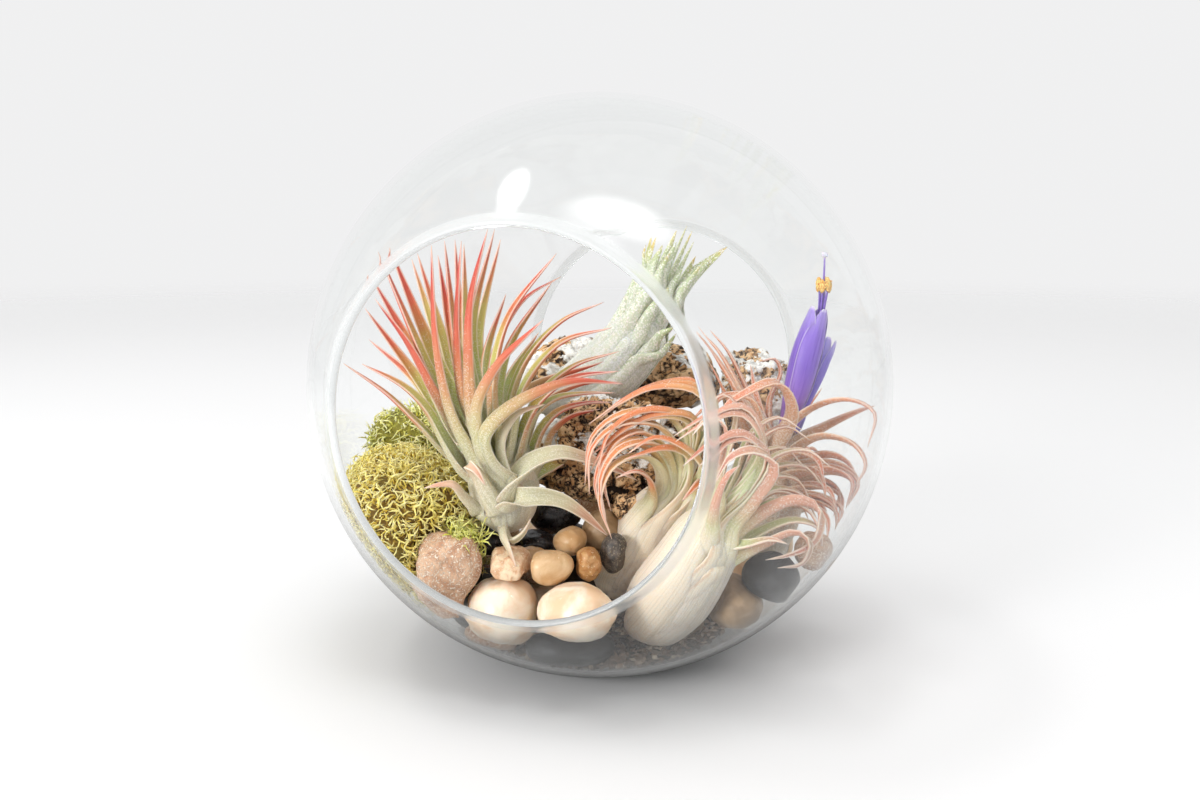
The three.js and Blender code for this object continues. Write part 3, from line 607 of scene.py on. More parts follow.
def to_part(points):
    """The planting's own frame, in millimetres, turned to the part's, in metres."""
    points = np.asarray(points, float) * MM
    x, y, z = np.moveaxis(points, -1, 0)
    c, s = math.cos(planting_turn), math.sin(planting_turn)
    return np.stack([x * c - y * s, x * s + y * c, z], axis=-1)


def smooth_path(points, count):
    """A centripetal Catmull-Rom curve through the points, in steps of equal length."""
    p = np.array(points, float)
    p = np.vstack([2 * p[0] - p[1], p, 2 * p[-1] - p[-2]])
    share = np.linspace(0, 1, 12, endpoint=False)[:, None]
    rows = []
    for a, b, c, d in zip(p, p[1:], p[2:], p[3:]):
        before, here, after = (max(np.linalg.norm(q - r) ** 0.5, 1e-6) for q, r in ((b, a), (c, b), (d, c)))
        start = ((b - a) / before - (c - a) / (before + here) + (c - b) / here) * here
        end = ((c - b) / here - (d - b) / (here + after) + (d - c) / after) * here
        rows.append((2 * share ** 3 - 3 * share ** 2 + 1) * b + (share ** 3 - 2 * share ** 2 + share) * start
                    + (3 * share ** 2 - 2 * share ** 3) * c + (share ** 3 - share ** 2) * end)
    fine = np.vstack(rows + [p[-2][None]])
    run = np.concatenate([[0], np.cumsum(np.linalg.norm(np.diff(fine[:, :3], axis=0), axis=1))])
    steps = np.linspace(0, run[-1], count)
    return np.stack([np.interp(steps, run, column) for column in fine.T], axis=1)


def unit(rows):
    return rows / np.maximum(np.linalg.norm(rows, axis=-1, keepdims=True), 1e-9)


def square_to(rows, tangent):
    """The rows, less what runs along the tangent, at unit length."""
    return unit(rows - tangent * np.sum(rows * tangent, axis=-1, keepdims=True))


def eased(value, low, high):
    t = np.clip((value - low) / (high - low), 0, 1)
    return t * t * (3 - 2 * t)


def leaf_rows(text):
    """Leaves from lines of a width and the points that the leaf passes."""
    leaves = []
    for line in text.strip().splitlines():
        width, places = line.split(":")
        leaves.append(([tuple(map(float, place.split())) for place in places.split(",")], float(width)))
    return leaves


def leaf_grid(axis, points, width, cover, plant, loose):
    """Rings of points from the foot of a leaf's sheath to its tip, with their shares."""
    points = np.array(points, float)
    heart = axis[len(axis) // 2, :3]
    leave = max(int(np.argmin(np.linalg.norm(axis[:, :3] - points[0], axis=1))), 10)
    run = unit(np.gradient(axis[:, :3], axis=0))
    outwards = square_to(points[0] - axis[leave, :3], run[leave])
    feet = [int(round(share * leave)) for share in (0.02, 0.15, 0.3, 0.45, 0.6, 0.75, 0.88)]
    controls = [axis[j, :3] + square_to(outwards, run[j]) * axis[j, 3] * cover for j in feet]
    path = smooth_path(np.vstack([controls, points]), leaf_stations * 4)
    start = int(np.argmin(np.linalg.norm(path - points[0], axis=1))) / (len(path) - 1)
    place = np.linspace(0, 1, leaf_stations)
    path = np.stack([np.interp(place, np.linspace(0, 1, len(path)), column) for column in path.T], axis=1)
    tangent = unit(np.gradient(path, axis=0))
    near = np.argmin(np.linalg.norm(path[:, None] - axis[None, :, :3], axis=2), axis=1)
    inward = square_to(axis[near, :3] - path, tangent)
    inward[place > start] = inward[place <= start][-1]
    inward = square_to(inward, tangent)
    spine = np.vstack([heart, points])
    across = unit(np.cross(spine[len(spine) // 2] - heart, spine[-1] - heart))
    upper = np.cross(across, tangent)
    if np.sum(upper[int(start * leaf_stations)] * inward[int(start * leaf_stations)]) < 0:
        upper = -upper
    share = place / start
    free = np.clip((place - start) / (1 - start), 0, 1)
    blend = eased(place, start * 0.4, start + 0.16)
    normal = square_to(inward * (1 - blend[:, None]) + upper * blend[:, None], tangent)
    side = np.cross(tangent, normal)
    wrap = np.interp(share, [0, 0.15, 0.5, 1.3], plant["wrap"])
    taper = np.maximum((1 - free ** plant["hold"]) ** 0.75, 0.015)
    sheath = np.full(leaf_stations, width * 0.4) if loose else axis[near, 3] * cover * wrap
    half = (1 - blend) * sheath + blend * width / 2 * taper
    ridge = 1 + (plant["ridge"] - 1) * eased(share, 0.1, 0.45)
    angle = (1 - blend) * np.minimum(wrap * ridge, 2.6) + blend * (1.35 - 0.4 * free)
    thick = (1 - blend) * sheath_thickness + blend * (blade_thickness * (1 - free) ** 0.5 + 0.15)
    bend = half / angle
    along = np.where(place < start, 0.3 * share, 0.3 + 0.7 * free)
    spread = np.linspace(-1, 1, plant["around"])
    spread = (spread + np.sin(spread * math.pi / 2)) / 2
    rings, marks = [], []
    for inner, crossing in ((1, spread), (-1, spread[-2:0:-1])):
        for c in crossing:
            edge = max(1 - c * c, 0) ** 0.5
            out = (bend - inner * edge * thick / 2)[:, None]
            turned = (c * angle)[:, None]
            rings.append(path + side * out * np.sin(turned) + normal * (bend[:, None] - out * np.cos(turned)))
            marks.append(np.stack([along, np.full(leaf_stations, inner * edge), half * c,
                                   half * (1 - abs(c))], axis=1))
    return np.stack(rings, axis=1), np.stack(marks, axis=1)


def filled_in(leaves, between, slimmer):
    """The leaves, made slimmer, with further ones between neighbours that run alike."""
    rows = [(points, width * slimmer) for points, width in leaves]
    dice = random.Random(len(leaves))
    centre = np.array([0, 0, globe_centre.z / MM])
    room = (globe_radius - wall) / MM - 3
    filled = []
    for (points, width), (after, after_width) in zip(rows, rows[1:] + rows[-1:]):
        filled.append((points, width))
        alike = len(points) == len(after) and 2 < math.dist(points[0], after[0]) < 14
        for step in range(between if alike else 0):
            share = (step + 1) / (between + 1)
            middle = np.array(points) * (1 - share) + np.array(after) * share
            stray = np.array([dice.uniform(-1, 1) for _ in range(3)]) * 3.2
            middle += stray * np.linspace(0, 1, len(middle))[:, None]
            out = np.linalg.norm(middle - centre, axis=1, keepdims=True)
            middle = centre + (middle - centre) * np.minimum(1, room / out)
            filled.append((middle.tolist(), width * (1 - share) + after_width * share))
    return filled


def tube_faces(stations, around, first):
    """Quads along a tube of rings, and the two caps that close it."""
    last = first + (stations - 1) * around
    caps = [list(range(first, first + around))[::-1], list(range(last, last + around))]
    return ring_faces(stations, around, first) + caps


def mark_points(mesh, **columns):
    for label, values in columns.items():
        mesh.attributes.new(label, "FLOAT", "POINT").data.foreach_set("value", np.asarray(values, np.float32))


def tube_set(name, grids, labels):
    """One mesh of closed tubes, from grids of rings and the marks of their points."""
    points, marks, faces = [], [], []
    first = 0
    for grid, mark in grids:
        faces += tube_faces(grid.shape[0], grid.shape[1], first)
        first += grid.shape[0] * grid.shape[1]
        points.append(grid.reshape(-1, 3))
        marks.append(mark.reshape(-1, len(labels)))
    made = outward(new_object(name, to_part(np.vstack(points)), faces))
    mark_points(made.data, **dict(zip(labels, np.vstack(marks).T)))
    return made


# A cover of sprigs: scattered over a piece, leaned, sized, made real and joined to it
cover_tree, covering, cover_out = new_skin("cover", {
    "Sprig": "Object", **floats("Spacing", "Size", "Size Spread", "Lean"), "Seed": "Int"})
cover_points = add_node(cover_tree, "GeometryNodeDistributePointsOnFaces", {
    "Mesh": covering["Geometry"], "Distance Min": covering["Spacing"], "Seed": covering["Seed"],
    "Density Max": 1.6 / maths("POWER", covering["Spacing"], 2.0)}, distribute_method="POISSON")
cover_lean = take(cover_tree, "FunctionNodeRandomValue", {
    0: (-1.0, -1.0, 0.0), 1: (1.0, 1.0, 6.283), "Seed": covering["Seed"]}, data_type="FLOAT_VECTOR")
cover_most = take(cover_tree, "ShaderNodeCombineXYZ", {0: covering["Lean"], 1: covering["Lean"], 2: 1.0})
cover_lean = take(cover_tree, "ShaderNodeVectorMath", {0: cover_lean, 1: cover_most}, operation="MULTIPLY")
cover_turned = take(cover_tree, "FunctionNodeRotateRotation", {
    "Rotation": Value(cover_points, "Rotation"), "Rotate By": cover_lean}, rotation_space="LOCAL")
cover_size = take(cover_tree, "FunctionNodeRandomValue", {
    2: 1.0 - covering["Size Spread"], 3: covering["Size Spread"] + 1.0, "Seed": covering["Seed"]},
    1, data_type="FLOAT")
cover_set = take(cover_tree, "GeometryNodeInstanceOnPoints", {
    "Points": Value(cover_points, "Points"), "Rotation": cover_turned, "Scale": cover_size * covering["Size"],
    "Instance": take(cover_tree, "GeometryNodeObjectInfo", {0: covering["Sprig"]}, "Geometry")})
cover_real = take(cover_tree, "GeometryNodeRealizeInstances", {0: cover_set})
cover_joined = add_node(cover_tree, "GeometryNodeJoinGeometry")
for layer in (painted(covering, cover_real), covering["Geometry"]):
    plug(cover_joined, {0: layer})
plug(cover_out, {0: Value(cover_joined)})

# The scurf that the plants share: a dusting of tiny pale scales
scurf, scales, scurf_out = new_tree("scurf", "ShaderNodeTree", floats("Amount", "Size"), floats("Mask"))
scale_cell, scale_pick = cells(own_place(scurf), scales["Size"])
scale_edge = 1.15 - (scales["Amount"] + noise(own_place(scurf), 2.6 * MM, 4.0) * 0.3)
plug(scurf_out, {"Mask": scale_cell.ramp(0.7, 0.42) * scale_pick.ramp(scale_edge, scale_edge + 0.15)})


def colour_ramp(value, stops):
    ramp = take(value.tree, "ShaderNodeValToRGB", {0: value})
    band = ramp.socket.node.color_ramp.elements
    for index, (place, code) in enumerate(stops.items()):
        stop = band[index] if index < 2 else band.new(place)
        stop.position = place
        stop.color = from_hex(code)
    return ramp


def streaks(across, across_scale, along, along_scale, leaf, leaf_scale):
    """Fine lines that run along a leaf or petal, others on each."""
    place = take(along.tree, "ShaderNodeCombineXYZ", {
        0: across * across_scale, 1: along * along_scale, 2: leaf * leaf_scale})
    return noise(place, 1.0, 3.0)


def leaf_finish(name, plant):
    material, look = new_material(name)
    tree = look.id_data
    along, side, across, edge, leaf, faded = (
        attribute(tree, label) for label in ("along", "side", "across", "edge", "leaf", "faded"))
    shift = leaf * 0.2 + (noise(own_place(tree), 6 * MM, 3.0) * 0.16 + -0.2)
    grown = along + shift * along.ramp(0.18, 0.42)
    outer, inner = colour_ramp(grown, plant["outer"]), colour_ramp(grown, plant["inner"])
    colour = blended(side.ramp(-0.25, 0.25), outer, inner)
    colour = blended(faded * 0.85, colour, blended(grown.ramp(0.62, 1.05), "#D2CBAE", "#DCA88C"))
    lines = streaks(across, 2.6, along, 3.5, leaf, 71.0)
    dark = take(tree, "ShaderNodeHueSaturation", {"Saturation": 1.25, "Value": 0.66, "Color": colour})
    colour = blended(lines.ramp(0.46, 0.66) * plant["streak"], colour, dark)
    # Partly painted shade: a darker band inside the leaf edges on the bulb, for the grooves between
    # overlapping leaves, partly their own darker tone there.
    colour = blended(edge.ramp(1.5, 0.8) * along.ramp(0.5, 0.2) * 0.55, colour, plant["groove"])
    colour = blended(edge.ramp(0.45, 0.1) * plant["rim"], colour, "#FBF0E0")
    worn = along.ramp(0.4, 0.8) * -plant["bare"] + plant["scurf"]
    dust = take(tree, "ShaderNodeGroup", {
        "Size": plant["grain"] * MM, "Amount": edge.ramp(0.2, 2.0) * 0.25 + worn}, node_tree=scurf)
    colour = blended(dust * plant["dust"], colour, "#F7F4EC")
    plug(look, {"Base Color": colour, "Roughness": 0.6, "Sheen Weight": 0.3, "Sheen Roughness": 0.4})
    bumped(look, lines * 0.8 + dust, 0.6, 0.12)
    glowing(look, 0.3, (1.0, 0.7, 0.4), 1.2)
    return material


hair = new_object("hair", [(0.055, 0, 0), (-0.028, 0.048, 0), (-0.028, -0.048, 0), (0, 0, 1)],
                  [(0, 2, 1), (0, 1, 3), (1, 2, 3), (2, 0, 3)])
hair.data.transform(Matrix.Scale(MM, 4))
hair_finish, hair_look = new_material("leaf_hair")
hair_tone = noise(own_place(hair_finish.node_tree), 5 * MM)
plug(hair_look, {"Base Color": blended(hair_tone, "#E6E0CE", "#F7F4EC"), "Roughness": 0.8})

# Bulb rows are places and radii, leaf rows the width and the points passed, in millimetres
# in the planting's frame. Ramps run from the sheath's foot (0) past the bulb (0.3) to the tip.
air_plants = {
    "plant_left": {
        "bulb": [(-25.5, -28, 43.5, 3), (-25.5, -27.5, 47, 8), (-26, -26.5, 52, 10), (-27, -25, 60, 10.5),
                 (-29, -22, 68, 10)],
        "leaves": """
            4.5: -40 -24 62, -48 -30 73, -56 -32 82, -66 -34 90
            6: -39 -12 61, -49 -6 77, -66 -8 102
            5.5: -42 -4 60, -54 6 78, -70 12 91
            6.5: -39 -12 65, -50 -10 86, -63 -12 111
            7: -38 -22 67, -46 -24 86, -58 -24 118
            7: -38 -10 68, -48 -4 89, -59 -6 119
            6: -39 0 66, -48 10 88, -57 16 115
            6: -38 -6 67, -45 2 89, -53 4 117
            6.5: -35 -14 68, -41 -14 94, -44 -15 117
            7: -35 -22 70, -39 -22 92, -41 -22 121
            6: -36 -6 67, -40 0 89, -42 4 121
            6.5: -34 -16 69, -37 -16 91, -37 -14 120
            6.5: -33 -14 68, -36 -12 96, -29 -10 124
            6: -34 -2 66, -36 2 92, -29 6 121
            6.5: -32 -8 67, -34 0 86, -28 10 105
            6.5: -30 -18 69, -26 -16 91, -13 -15 110
            6: -30 -6 67, -27 -2 81, -18 4 94
            6.5: -24 -14 63, -22 -10 77, 1 -8 87
            6.5: -21 -20 59, -19 -21 69, -15 -19 77, -4 -17 82, 6 -14 82
            7: -35 -26 62, -40 -27 72, -45 -27 82, -51 -26 94, -59 -26 106
            7.5: -34 -31 62, -40 -31 76, -43 -31 94, -43 -31 120
            7: -37 -29 59, -42 -30 69, -46 -32 78, -51 -34 84, -61 -35 90
            8: -30 -32 60, -34 -33 74, -35 -31 90, -34 -29 106, -29 -27 124
            8: -24 -29 59, -23 -28 70, -23 -27 79, -19 -27 90, -10 -26 100, 1 -24 105
            8: -24 -33 60, -26 -34 72, -27 -33 86, -23 -33 102, -11 -34 118
            7: -22 -28 59, -20 -28 70, -16 -27 80, -7 -26 88, 5 -25 92
            6.5: -20 -26 58, -20 -27 68, -17 -26 75, -12 -25 79, -5 -22 80, 4 -20 80
            6.5: -18 -24 58, -17 -25 66, -15 -24 71, -11 -22 75, -4 -20 77, 3 -18 77
            8.5: -28 -35 58, -32 -38 69, -32 -40 80, -26 -42 91, -14 -42 102
            7.5: -25 -36 58, -29 -40 67, -30 -42 73, -25 -42 79, -16 -40 84, -7 -36 86, 6 -30 84
            7: -31 -28 63, -37 -29 80, -38 -28 98, -36 -26 121
            7.5: -27 -31 62, -29 -32 76, -28 -30 92, -20 -30 106, -10 -30 112
            7.5: -23 -31 60, -22 -32 72, -19 -32 84, -10 -32 95, 3 -32 99
            7: -21 -29 59, -20 -31 70, -16 -31 79, -8 -29 85, 5 -27 87
            6.5: -18 -21 56, -15 -20 62, -13 -17 68, -8 -14 72, 0 -12 74
            7.5: -22 -20 54, -14 -13 57, -5 -5 60
            6: -24 -36 57, -26 -39 68, -25 -40 73, -21 -39 78, -14 -38 80
            4.5: -31 -34 50, -35 -36 55, -38 -38 59, -41 -38 59, -45.5 -38 58
            7: -26 -38 51.5, -29 -39 56.5, -32 -38.5 62, -33.5 -40 64.5, -31.5 -42.5 64, -29 -43 60
            8: -22.5 -37 54, -21.5 -37.5 59, -18 -36 63.5, -11 -34 66, -4 -31 64, 3 -29 61, 10 -26 57
            7: -23 -38 52, -21 -39 55, -17.5 -38.5 56, -11 -36 54.5, -5 -33 50, 2.5 -29 42
            5: -26.5 -34 46, -25.5 -38 44.5, -24 -41 43, -21.5 -43 38.5
            4: -25 -34 46, -23 -37.5 44, -20 -37.5 46, -18 -36 49.5""",
        "inner": {0: "#D9D0B2", 0.3: "#C4C99C", 0.5: "#BBC67A",
                  0.68: "#C4B668", 0.84: "#CE6A4C", 1: "#BE4640"},
        "outer": {0: "#DCCBAC", 0.15: "#D8CDB2", 0.3: "#CDC9A6", 0.45: "#C6BE8E", 0.6: "#C8966A",
                  0.77: "#D0684E", 1: "#C0483F"},
        "around": 9, "between": 0, "slimmer": 1.2, "hold": 0.8, "cover": (0.7, 1.04),
        "wrap": [1.2, 0.8, 0.58, 0.6], "ridge": 1.9, "faded_from": 36, "loose_from": 41, "streak": 0.45,
        "rim": 0.5, "groove": "#AE8466", "scurf": 0.4, "bare": 0.5, "dust": 0.4, "grain": 0.29,
        "hair": (1.2, 0.4),
    },
    "plant_back": {
        "bulb": [(-19, 20, 71, 5), (-10, 19, 73, 8.5), (1, 20, 79, 11), (11, 23, 90, 10), (17, 27, 100, 7)],
        "leaves": """
            10: 13 36 91, 14 38 104, 17 44 122
            11: 7 24 93, 11 26 105, 20 34 119
            11: 12 18 96, 17 20 106, 24 28 120
            11: 16 28 94, 20 30 106, 28 37 125
            10: 18 34 92, 23 36 104, 31 44 120
            10: 19 22 95, 26 24 105, 36 34 115
            10: 22 34 92, 27 38 106, 42 50 118
            8: 15 12 88, 18 8 93, 22 8 95
            9: 9 14 97, 15 17 106, 22 25 117
            9: 15 18 90, 22 19 100, 32 28 113
            9: 4 28 95, 10 32 105, 15 40 119
            8: 12 11 84, 18 10 86, 23 11 93""",
        "inner": {0: "#C6CDAE", 0.3: "#B3BF96", 0.7: "#B4C096", 0.92: "#B9BC7A", 1: "#D4B662"},
        "outer": {0: "#EFEBDE", 0.3: "#D6DAC4", 0.6: "#C6CFB0", 0.88: "#B6C08E", 1: "#D8C078"},
        "around": 9, "between": 1, "slimmer": 0.72, "hold": 1.0, "cover": (0.9, 1.02),
        "wrap": [0.6, 0.52, 0.46, 0.45], "ridge": 2.7, "streak": 0.4, "rim": 0.1, "groove": "#8FA06E",
        "scurf": 0.55, "bare": 0.1, "dust": 0.85, "grain": 0.55, "hair": (0.8, 0.6),
    },
    "plant_small": {
        "bulb": [(2, -14, 21, 3.5), (4.5, -15, 25, 8.5), (8, -17, 32, 10), (13, -20, 42, 8.8),
                 (18.5, -24, 52, 6.2)],
        "leaves": """
            5.5: 18 -27 55, 17 -30 66, 10 -34 72, 3 -37 69, 1 -38 62, 2 -38 55
            5: 16 -27 54, 15 -31 62, 10 -36 66, 3 -40 64, 0 -41 56, 3 -40 45
            6: 21 -26 57, 22 -28 69, 17 -32 76, 6 -35 77, -2 -36 71, -4 -36 58
            6: 23 -26 60, 26 -30 72, 23 -34 77, 13 -36 77, 3 -37 71, -3 -38 66
            6: 24 -26 60, 29 -31 75, 25 -34 83, 14 -34 84, 4 -34 79, -3 -34 74
            5.5: 26 -24 62, 29 -26 79, 24 -28 85, 13 -30 83, 5 -31 79, 0 -32 75
            5.5: 24 -30 58, 23 -34 66, 17 -38 69, 6 -40 66
            5.5: 26 -30 55, 27 -35 63, 22 -38 69, 14 -40 72, 7 -42 68
            5: 25 -32 53, 26 -36 59, 21 -40 55
            4.5: 13 -28 52, 13 -34 59, 9 -40 63, 4 -43 62""",
        "inner": {0: "#FAF1E4", 0.3: "#DDE0B4", 0.44: "#C9C088",
                  0.6: "#D6955E", 0.8: "#DA7A4C", 1: "#C8603E"},
        "outer": {0: "#EFD2B0", 0.05: "#F7E3CA", 0.22: "#F6E6CF", 0.34: "#E2DEB4", 0.47: "#D3B884",
                  0.62: "#DC8E60", 1: "#D6744E"},
        "around": 13, "between": 2, "slimmer": 0.8, "hold": 1.0, "cover": (0.86, 1.0),
        "wrap": [2.4, 2.0, 1.2, 1.2], "ridge": 1.2, "streak": 0.4, "rim": 0.5, "groove": "#DDBD9C",
        "scurf": 0.1, "bare": 0.0, "dust": 0.4, "grain": 0.3, "hair": (1.3, 0.45),
    },
    "plant_large": {
        "bulb": [(9, -27, 15, 3.5), (12.5, -29.5, 19, 8.8), (17.5, -34, 27, 11.4), (24, -40, 40, 10.4),
                 (29, -45, 54, 8.2)],
        "leaves": """
            8: 26 -52 49, 27 -57 60, 30 -59 67, 33 -58 69
            9: 31 -50 52, 37 -50 59, 42 -50 67, 37 -52 71, 31 -55 70, 26 -57 64
            8: 31 -44 53, 37 -43 61, 41 -43 72, 36 -45 81, 28 -47 80, 18 -49 74
            7: 32 -48 46, 41 -47 54, 49 -46 57, 55 -45 54, 54 -46 47, 48 -48 44, 41 -50 43
            6: 33 -44 42, 43 -41 48, 50 -40 50, 56 -39 48, 59 -34 40
            6: 32 -46 39, 41 -46 45, 49 -47 49, 52 -48 47, 51 -46 41, 44 -50 41
            6.5: 28 -48 55, 28 -50 66, 30 -50 76, 26 -52 79, 22 -54 75
            7: 28 -44 49, 31 -42 64, 34 -42 74, 34 -43 81, 30 -45 84, 26 -47 82
            5.5: 31 -47 44, 37 -50 47, 42 -52 49, 46 -53 48
            8: 31 -46 53, 35 -41 63, 39 -37 72, 46 -35 76, 52 -36 73
            8: 33 -45 51, 39 -41 58, 45 -37 63, 53 -35 63, 58 -36 58
            7.5: 33 -46 48, 40 -43 53, 47 -40 55, 54 -39 52, 57 -40 46""",
        "inner": {0: "#F6ECDE", 0.3: "#DCE0B6", 0.55: "#C6CA94",
                  0.75: "#D2AC8E", 0.92: "#D4937E", 1: "#AE6E5A"},
        "outer": {0: "#B88A62", 0.035: "#E4C4A2", 0.09: "#F5E0C8", 0.22: "#F4E4CE", 0.36: "#DAD7AC",
                  0.56: "#D9AA92", 0.85: "#D2957E", 1: "#B8705A"},
        "around": 13, "between": 3, "slimmer": 0.8, "hold": 1.0, "cover": (0.86, 1.0),
        "wrap": [2.4, 2.0, 1.0, 0.9], "ridge": 1.3, "streak": 0.5, "rim": 0.6, "groove": "#D0A888",
        "scurf": 0.15, "bare": 0.0, "dust": 0.5, "grain": 0.32, "hair": (1.2, 0.45),
    },
    "plant_right": {
        "bulb": [(50, -10, 29, 5), (48, -12, 37, 9), (49, -12, 46, 10), (50, -12, 55, 8), (51, -11, 62, 5)],
        "leaves": """
            6: 53 -10 65, 59 -14 74, 68 -20 78, 74 -24 75, 72 -26 66
            5.5: 56 -4 62, 66 -4 68, 73 -10 73, 76 -18 76
            7: 54 -14 60, 61 -18 67, 69 -22 66, 72 -25 61, 69 -26 55
            6: 57 -6 56, 66 -10 60, 71 -14 58, 71 -21 53
            6.5: 54 -16 54, 64 -19 58, 69 -23 56, 67 -26 49
            6: 56 -10 50, 64 -14 52, 68 -17 50, 67 -22 45
            6: 53 -18 49, 60 -22 51, 64 -25 49, 64 -28 45
            6: 52 -20 47, 58 -25 49, 61 -29 47, 61 -31 42
            6: 51 -20 60, 54 -24 64, 58 -27 63, 60 -29 57
            5.5: 54 -4 63, 58 -2 71, 64 0 82
            5: 57 4 62, 62 8 68, 67 12 72
            6: 48 -10 65, 43 -6 76, 37 -2 89, 32 0 95
            6.5: 45 -16 63, 39 -14 77, 31 -13 90, 25 -14 95
            6: 51 0 62, 51 4 74, 54 5 82, 52 5 86, 47 5 85
            5: 50 0 62, 47 5 74, 45 7 84
            7: 44 -19 62, 43 -22 73, 40 -23 79, 32 -23 79, 24 -23 72
            8: 47 -20 64, 51 -24 75, 46 -30 84, 38 -33 82, 31 -36 78, 26 -38 73
            6: 45 -6 59, 39 -4 72, 33 -3 81, 29 -3 86
            5.5: 50 8 56, 53 18 65, 58 26 70
            6: 54 4 52, 64 12 57, 70 20 54
            6: 48 4 52, 47 16 56, 46 28 54
            6: 58 0 44, 66 6 43, 68 -2 41""",
        "inner": {0: "#DACBB4", 0.3: "#C8A684", 0.6: "#D6926E", 0.85: "#DC805E", 1: "#BE6448"},
        "outer": {0: "#DACBB4", 0.3: "#D4AE8E", 0.55: "#E0A27E", 0.85: "#E28A66", 1: "#C86A4C"},
        "around": 7, "between": 2, "slimmer": 0.9, "hold": 1.0, "cover": (0.75, 1.0),
        "wrap": [1.3, 1.2, 0.9, 0.9], "ridge": 1.4, "streak": 0.5, "rim": 0.45, "groove": "#C09A80",
        "scurf": 0.35, "bare": 0.1, "dust": 0.5, "grain": 0.32, "hair": (1.1, 0.7),
    },
}


def plant_core(axis):
    """The bulb under the sheaths: a tube of rings along its axis, with their shares."""
    run = unit(np.gradient(axis[:, :3], axis=0))
    side = square_to(np.tile([0.2, 1.0, 0.1], (len(axis), 1)), run)
    front = np.cross(run, side)
    spread = np.linspace(-1, 1, len(axis))
    reach = (axis[:, 3] * 0.88 * np.sqrt(np.clip(1 - spread ** 6, 0.002, 1)))[:, None, None]
    turn = np.linspace(0, 2 * math.pi, core_sides, endpoint=False)
    rings = (axis[:, None, :3] + side[:, None] * reach * np.cos(turn)[None, :, None]
             + front[:, None] * reach * np.sin(turn)[None, :, None])
    count = len(axis) * core_sides
    marks = [np.repeat(np.linspace(0, 0.3, len(axis)), core_sides), np.full(count, -1.0),
             np.tile(turn * 8, len(axis)), np.full(count, 9.0), np.full(count, 0.5), np.zeros(count)]
    return rings, np.stack(marks, axis=1)


for number, (node, plant) in enumerate(air_plants.items()):
    axis = smooth_path(plant["bulb"], 41)
    dice = random.Random(number + 5)
    leaves = filled_in(leaf_rows(plant["leaves"]), plant["between"], plant["slimmer"])
    low, high = plant["cover"]
    grids = []
    for index, (points, width) in enumerate(leaves):
        cover = low + (high - low) * (index + 1) / len(leaves)
        grid, mark = leaf_grid(axis, points, width, cover, plant, index >= plant.get("loose_from", 99))
        own = np.full((*grid.shape[:2], 2), [dice.random(), index >= plant.get("faded_from", 99)])
        grids.append((grid, np.concatenate([mark, own], axis=2)))
    grids.append(plant_core(axis))
    tuft = tube_set("air_" + node, grids, ("along", "side", "across", "edge", "leaf", "faded"))
    tuft.data.materials.append(leaf_finish(node + "_leaf", plant))
    skinned(tuft, cover_tree, sprig=hair, spacing=plant["hair"][0] * MM, size=plant["hair"][1],
            size_spread=0.5, lean=0.9, seed=number, finish=hair_finish)
    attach(tuft, "root")
    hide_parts(node)
bpy.data.objects.remove(hair)


# Grit
# Coarse river sand and fine gravel, poured in before the pebbles to bed them: it fills the
# bottom of the globe between the stones and lies against the glass.
grit_level = 9.6 * MM
grit_gap = 1.25 * MM
grit_radius = globe_radius - wall - grit_gap
grit_reach = math.sqrt(grit_radius ** 2 - (globe_centre.z - grit_level) ** 2)


def grit_bed(rings, sides):
    """A closed lens of sand: its underside follows the glass, its top is nearly level."""
    reach = np.linspace(0, grit_reach, rings + 1)[1:, None]
    turn = np.linspace(0, 2 * math.pi, sides, endpoint=False)[None]
    x, y = reach * np.cos(turn), reach * np.sin(turn)
    under = globe_centre.z - np.sqrt(grit_radius ** 2 - reach ** 2) + 0 * x
    under = not_under(under, floor_thickness + grit_gap, foot_softness)
    swell = np.sin(x / (7 * MM)) * np.cos(y / (9 * MM) + 1) + np.sin((x + y) / (4.5 * MM))
    over = np.maximum(grit_level + swell * 0.6 * MM * (1 - (reach / grit_reach) ** 4), under + 0.02 * MM)
    points = [(0, 0, under.min()), (0, 0, grit_level)]
    for level in (under, over):
        points += np.stack([x, y, level], axis=2).reshape(-1, 3).tolist()
    faces = []
    for j in range(sides):
        k = (j + 1) % sides
        for first, centre in ((2, 0), (2 + rings * sides, 1)):
            strip = [(centre, first + k, first + j)]
            for i in range(first, first + (rings - 1) * sides, sides):
                strip.append((i + j, i + k, i + sides + k, i + sides + j))
            faces += [face if centre == 0 else face[::-1] for face in strip]
        edge = 2 + (rings - 1) * sides
        faces.append((edge + j, edge + k, edge + rings * sides + k, edge + rings * sides + j))
    return new_object("grit", points, faces)


grit_paint, grit_look = new_material("river_grit")
grit_pick = cells(own_place(grit_paint.node_tree), 1.5 * MM)[1]
grit_fine = noise(own_place(grit_paint.node_tree), 0.4 * MM, 3.0)
grit_tone = colour_ramp(grit_pick, {
    0: "#231F1C", 0.3: "#4C3E33", 0.55: "#745A42", 0.82: "#997E62", 0.97: "#DCCDB6"})
plug(grit_look, {"Base Color": blended(grit_fine * 0.5, grit_tone, "#5A4C40"),
                 "Roughness": grit_pick.ramp(0.0, 1.0, 0.75, 0.35)})
bumped(grit_look, grit_fine, 0.6, 0.15)
grit = outward(grit_bed(16, 72))
grit.data.materials.append(grit_paint)
grit_grain = new_ball("grain", 1, MM, (1.2, 0.95, 0.75))
skinned(grit, cover_tree, sprig=grit_grain, spacing=1.6 * MM, size=0.85, size_spread=0.45, lean=3.0, seed=3,
        finish=grit_paint)
bpy.data.objects.remove(grit_grain)
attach(grit, "root")


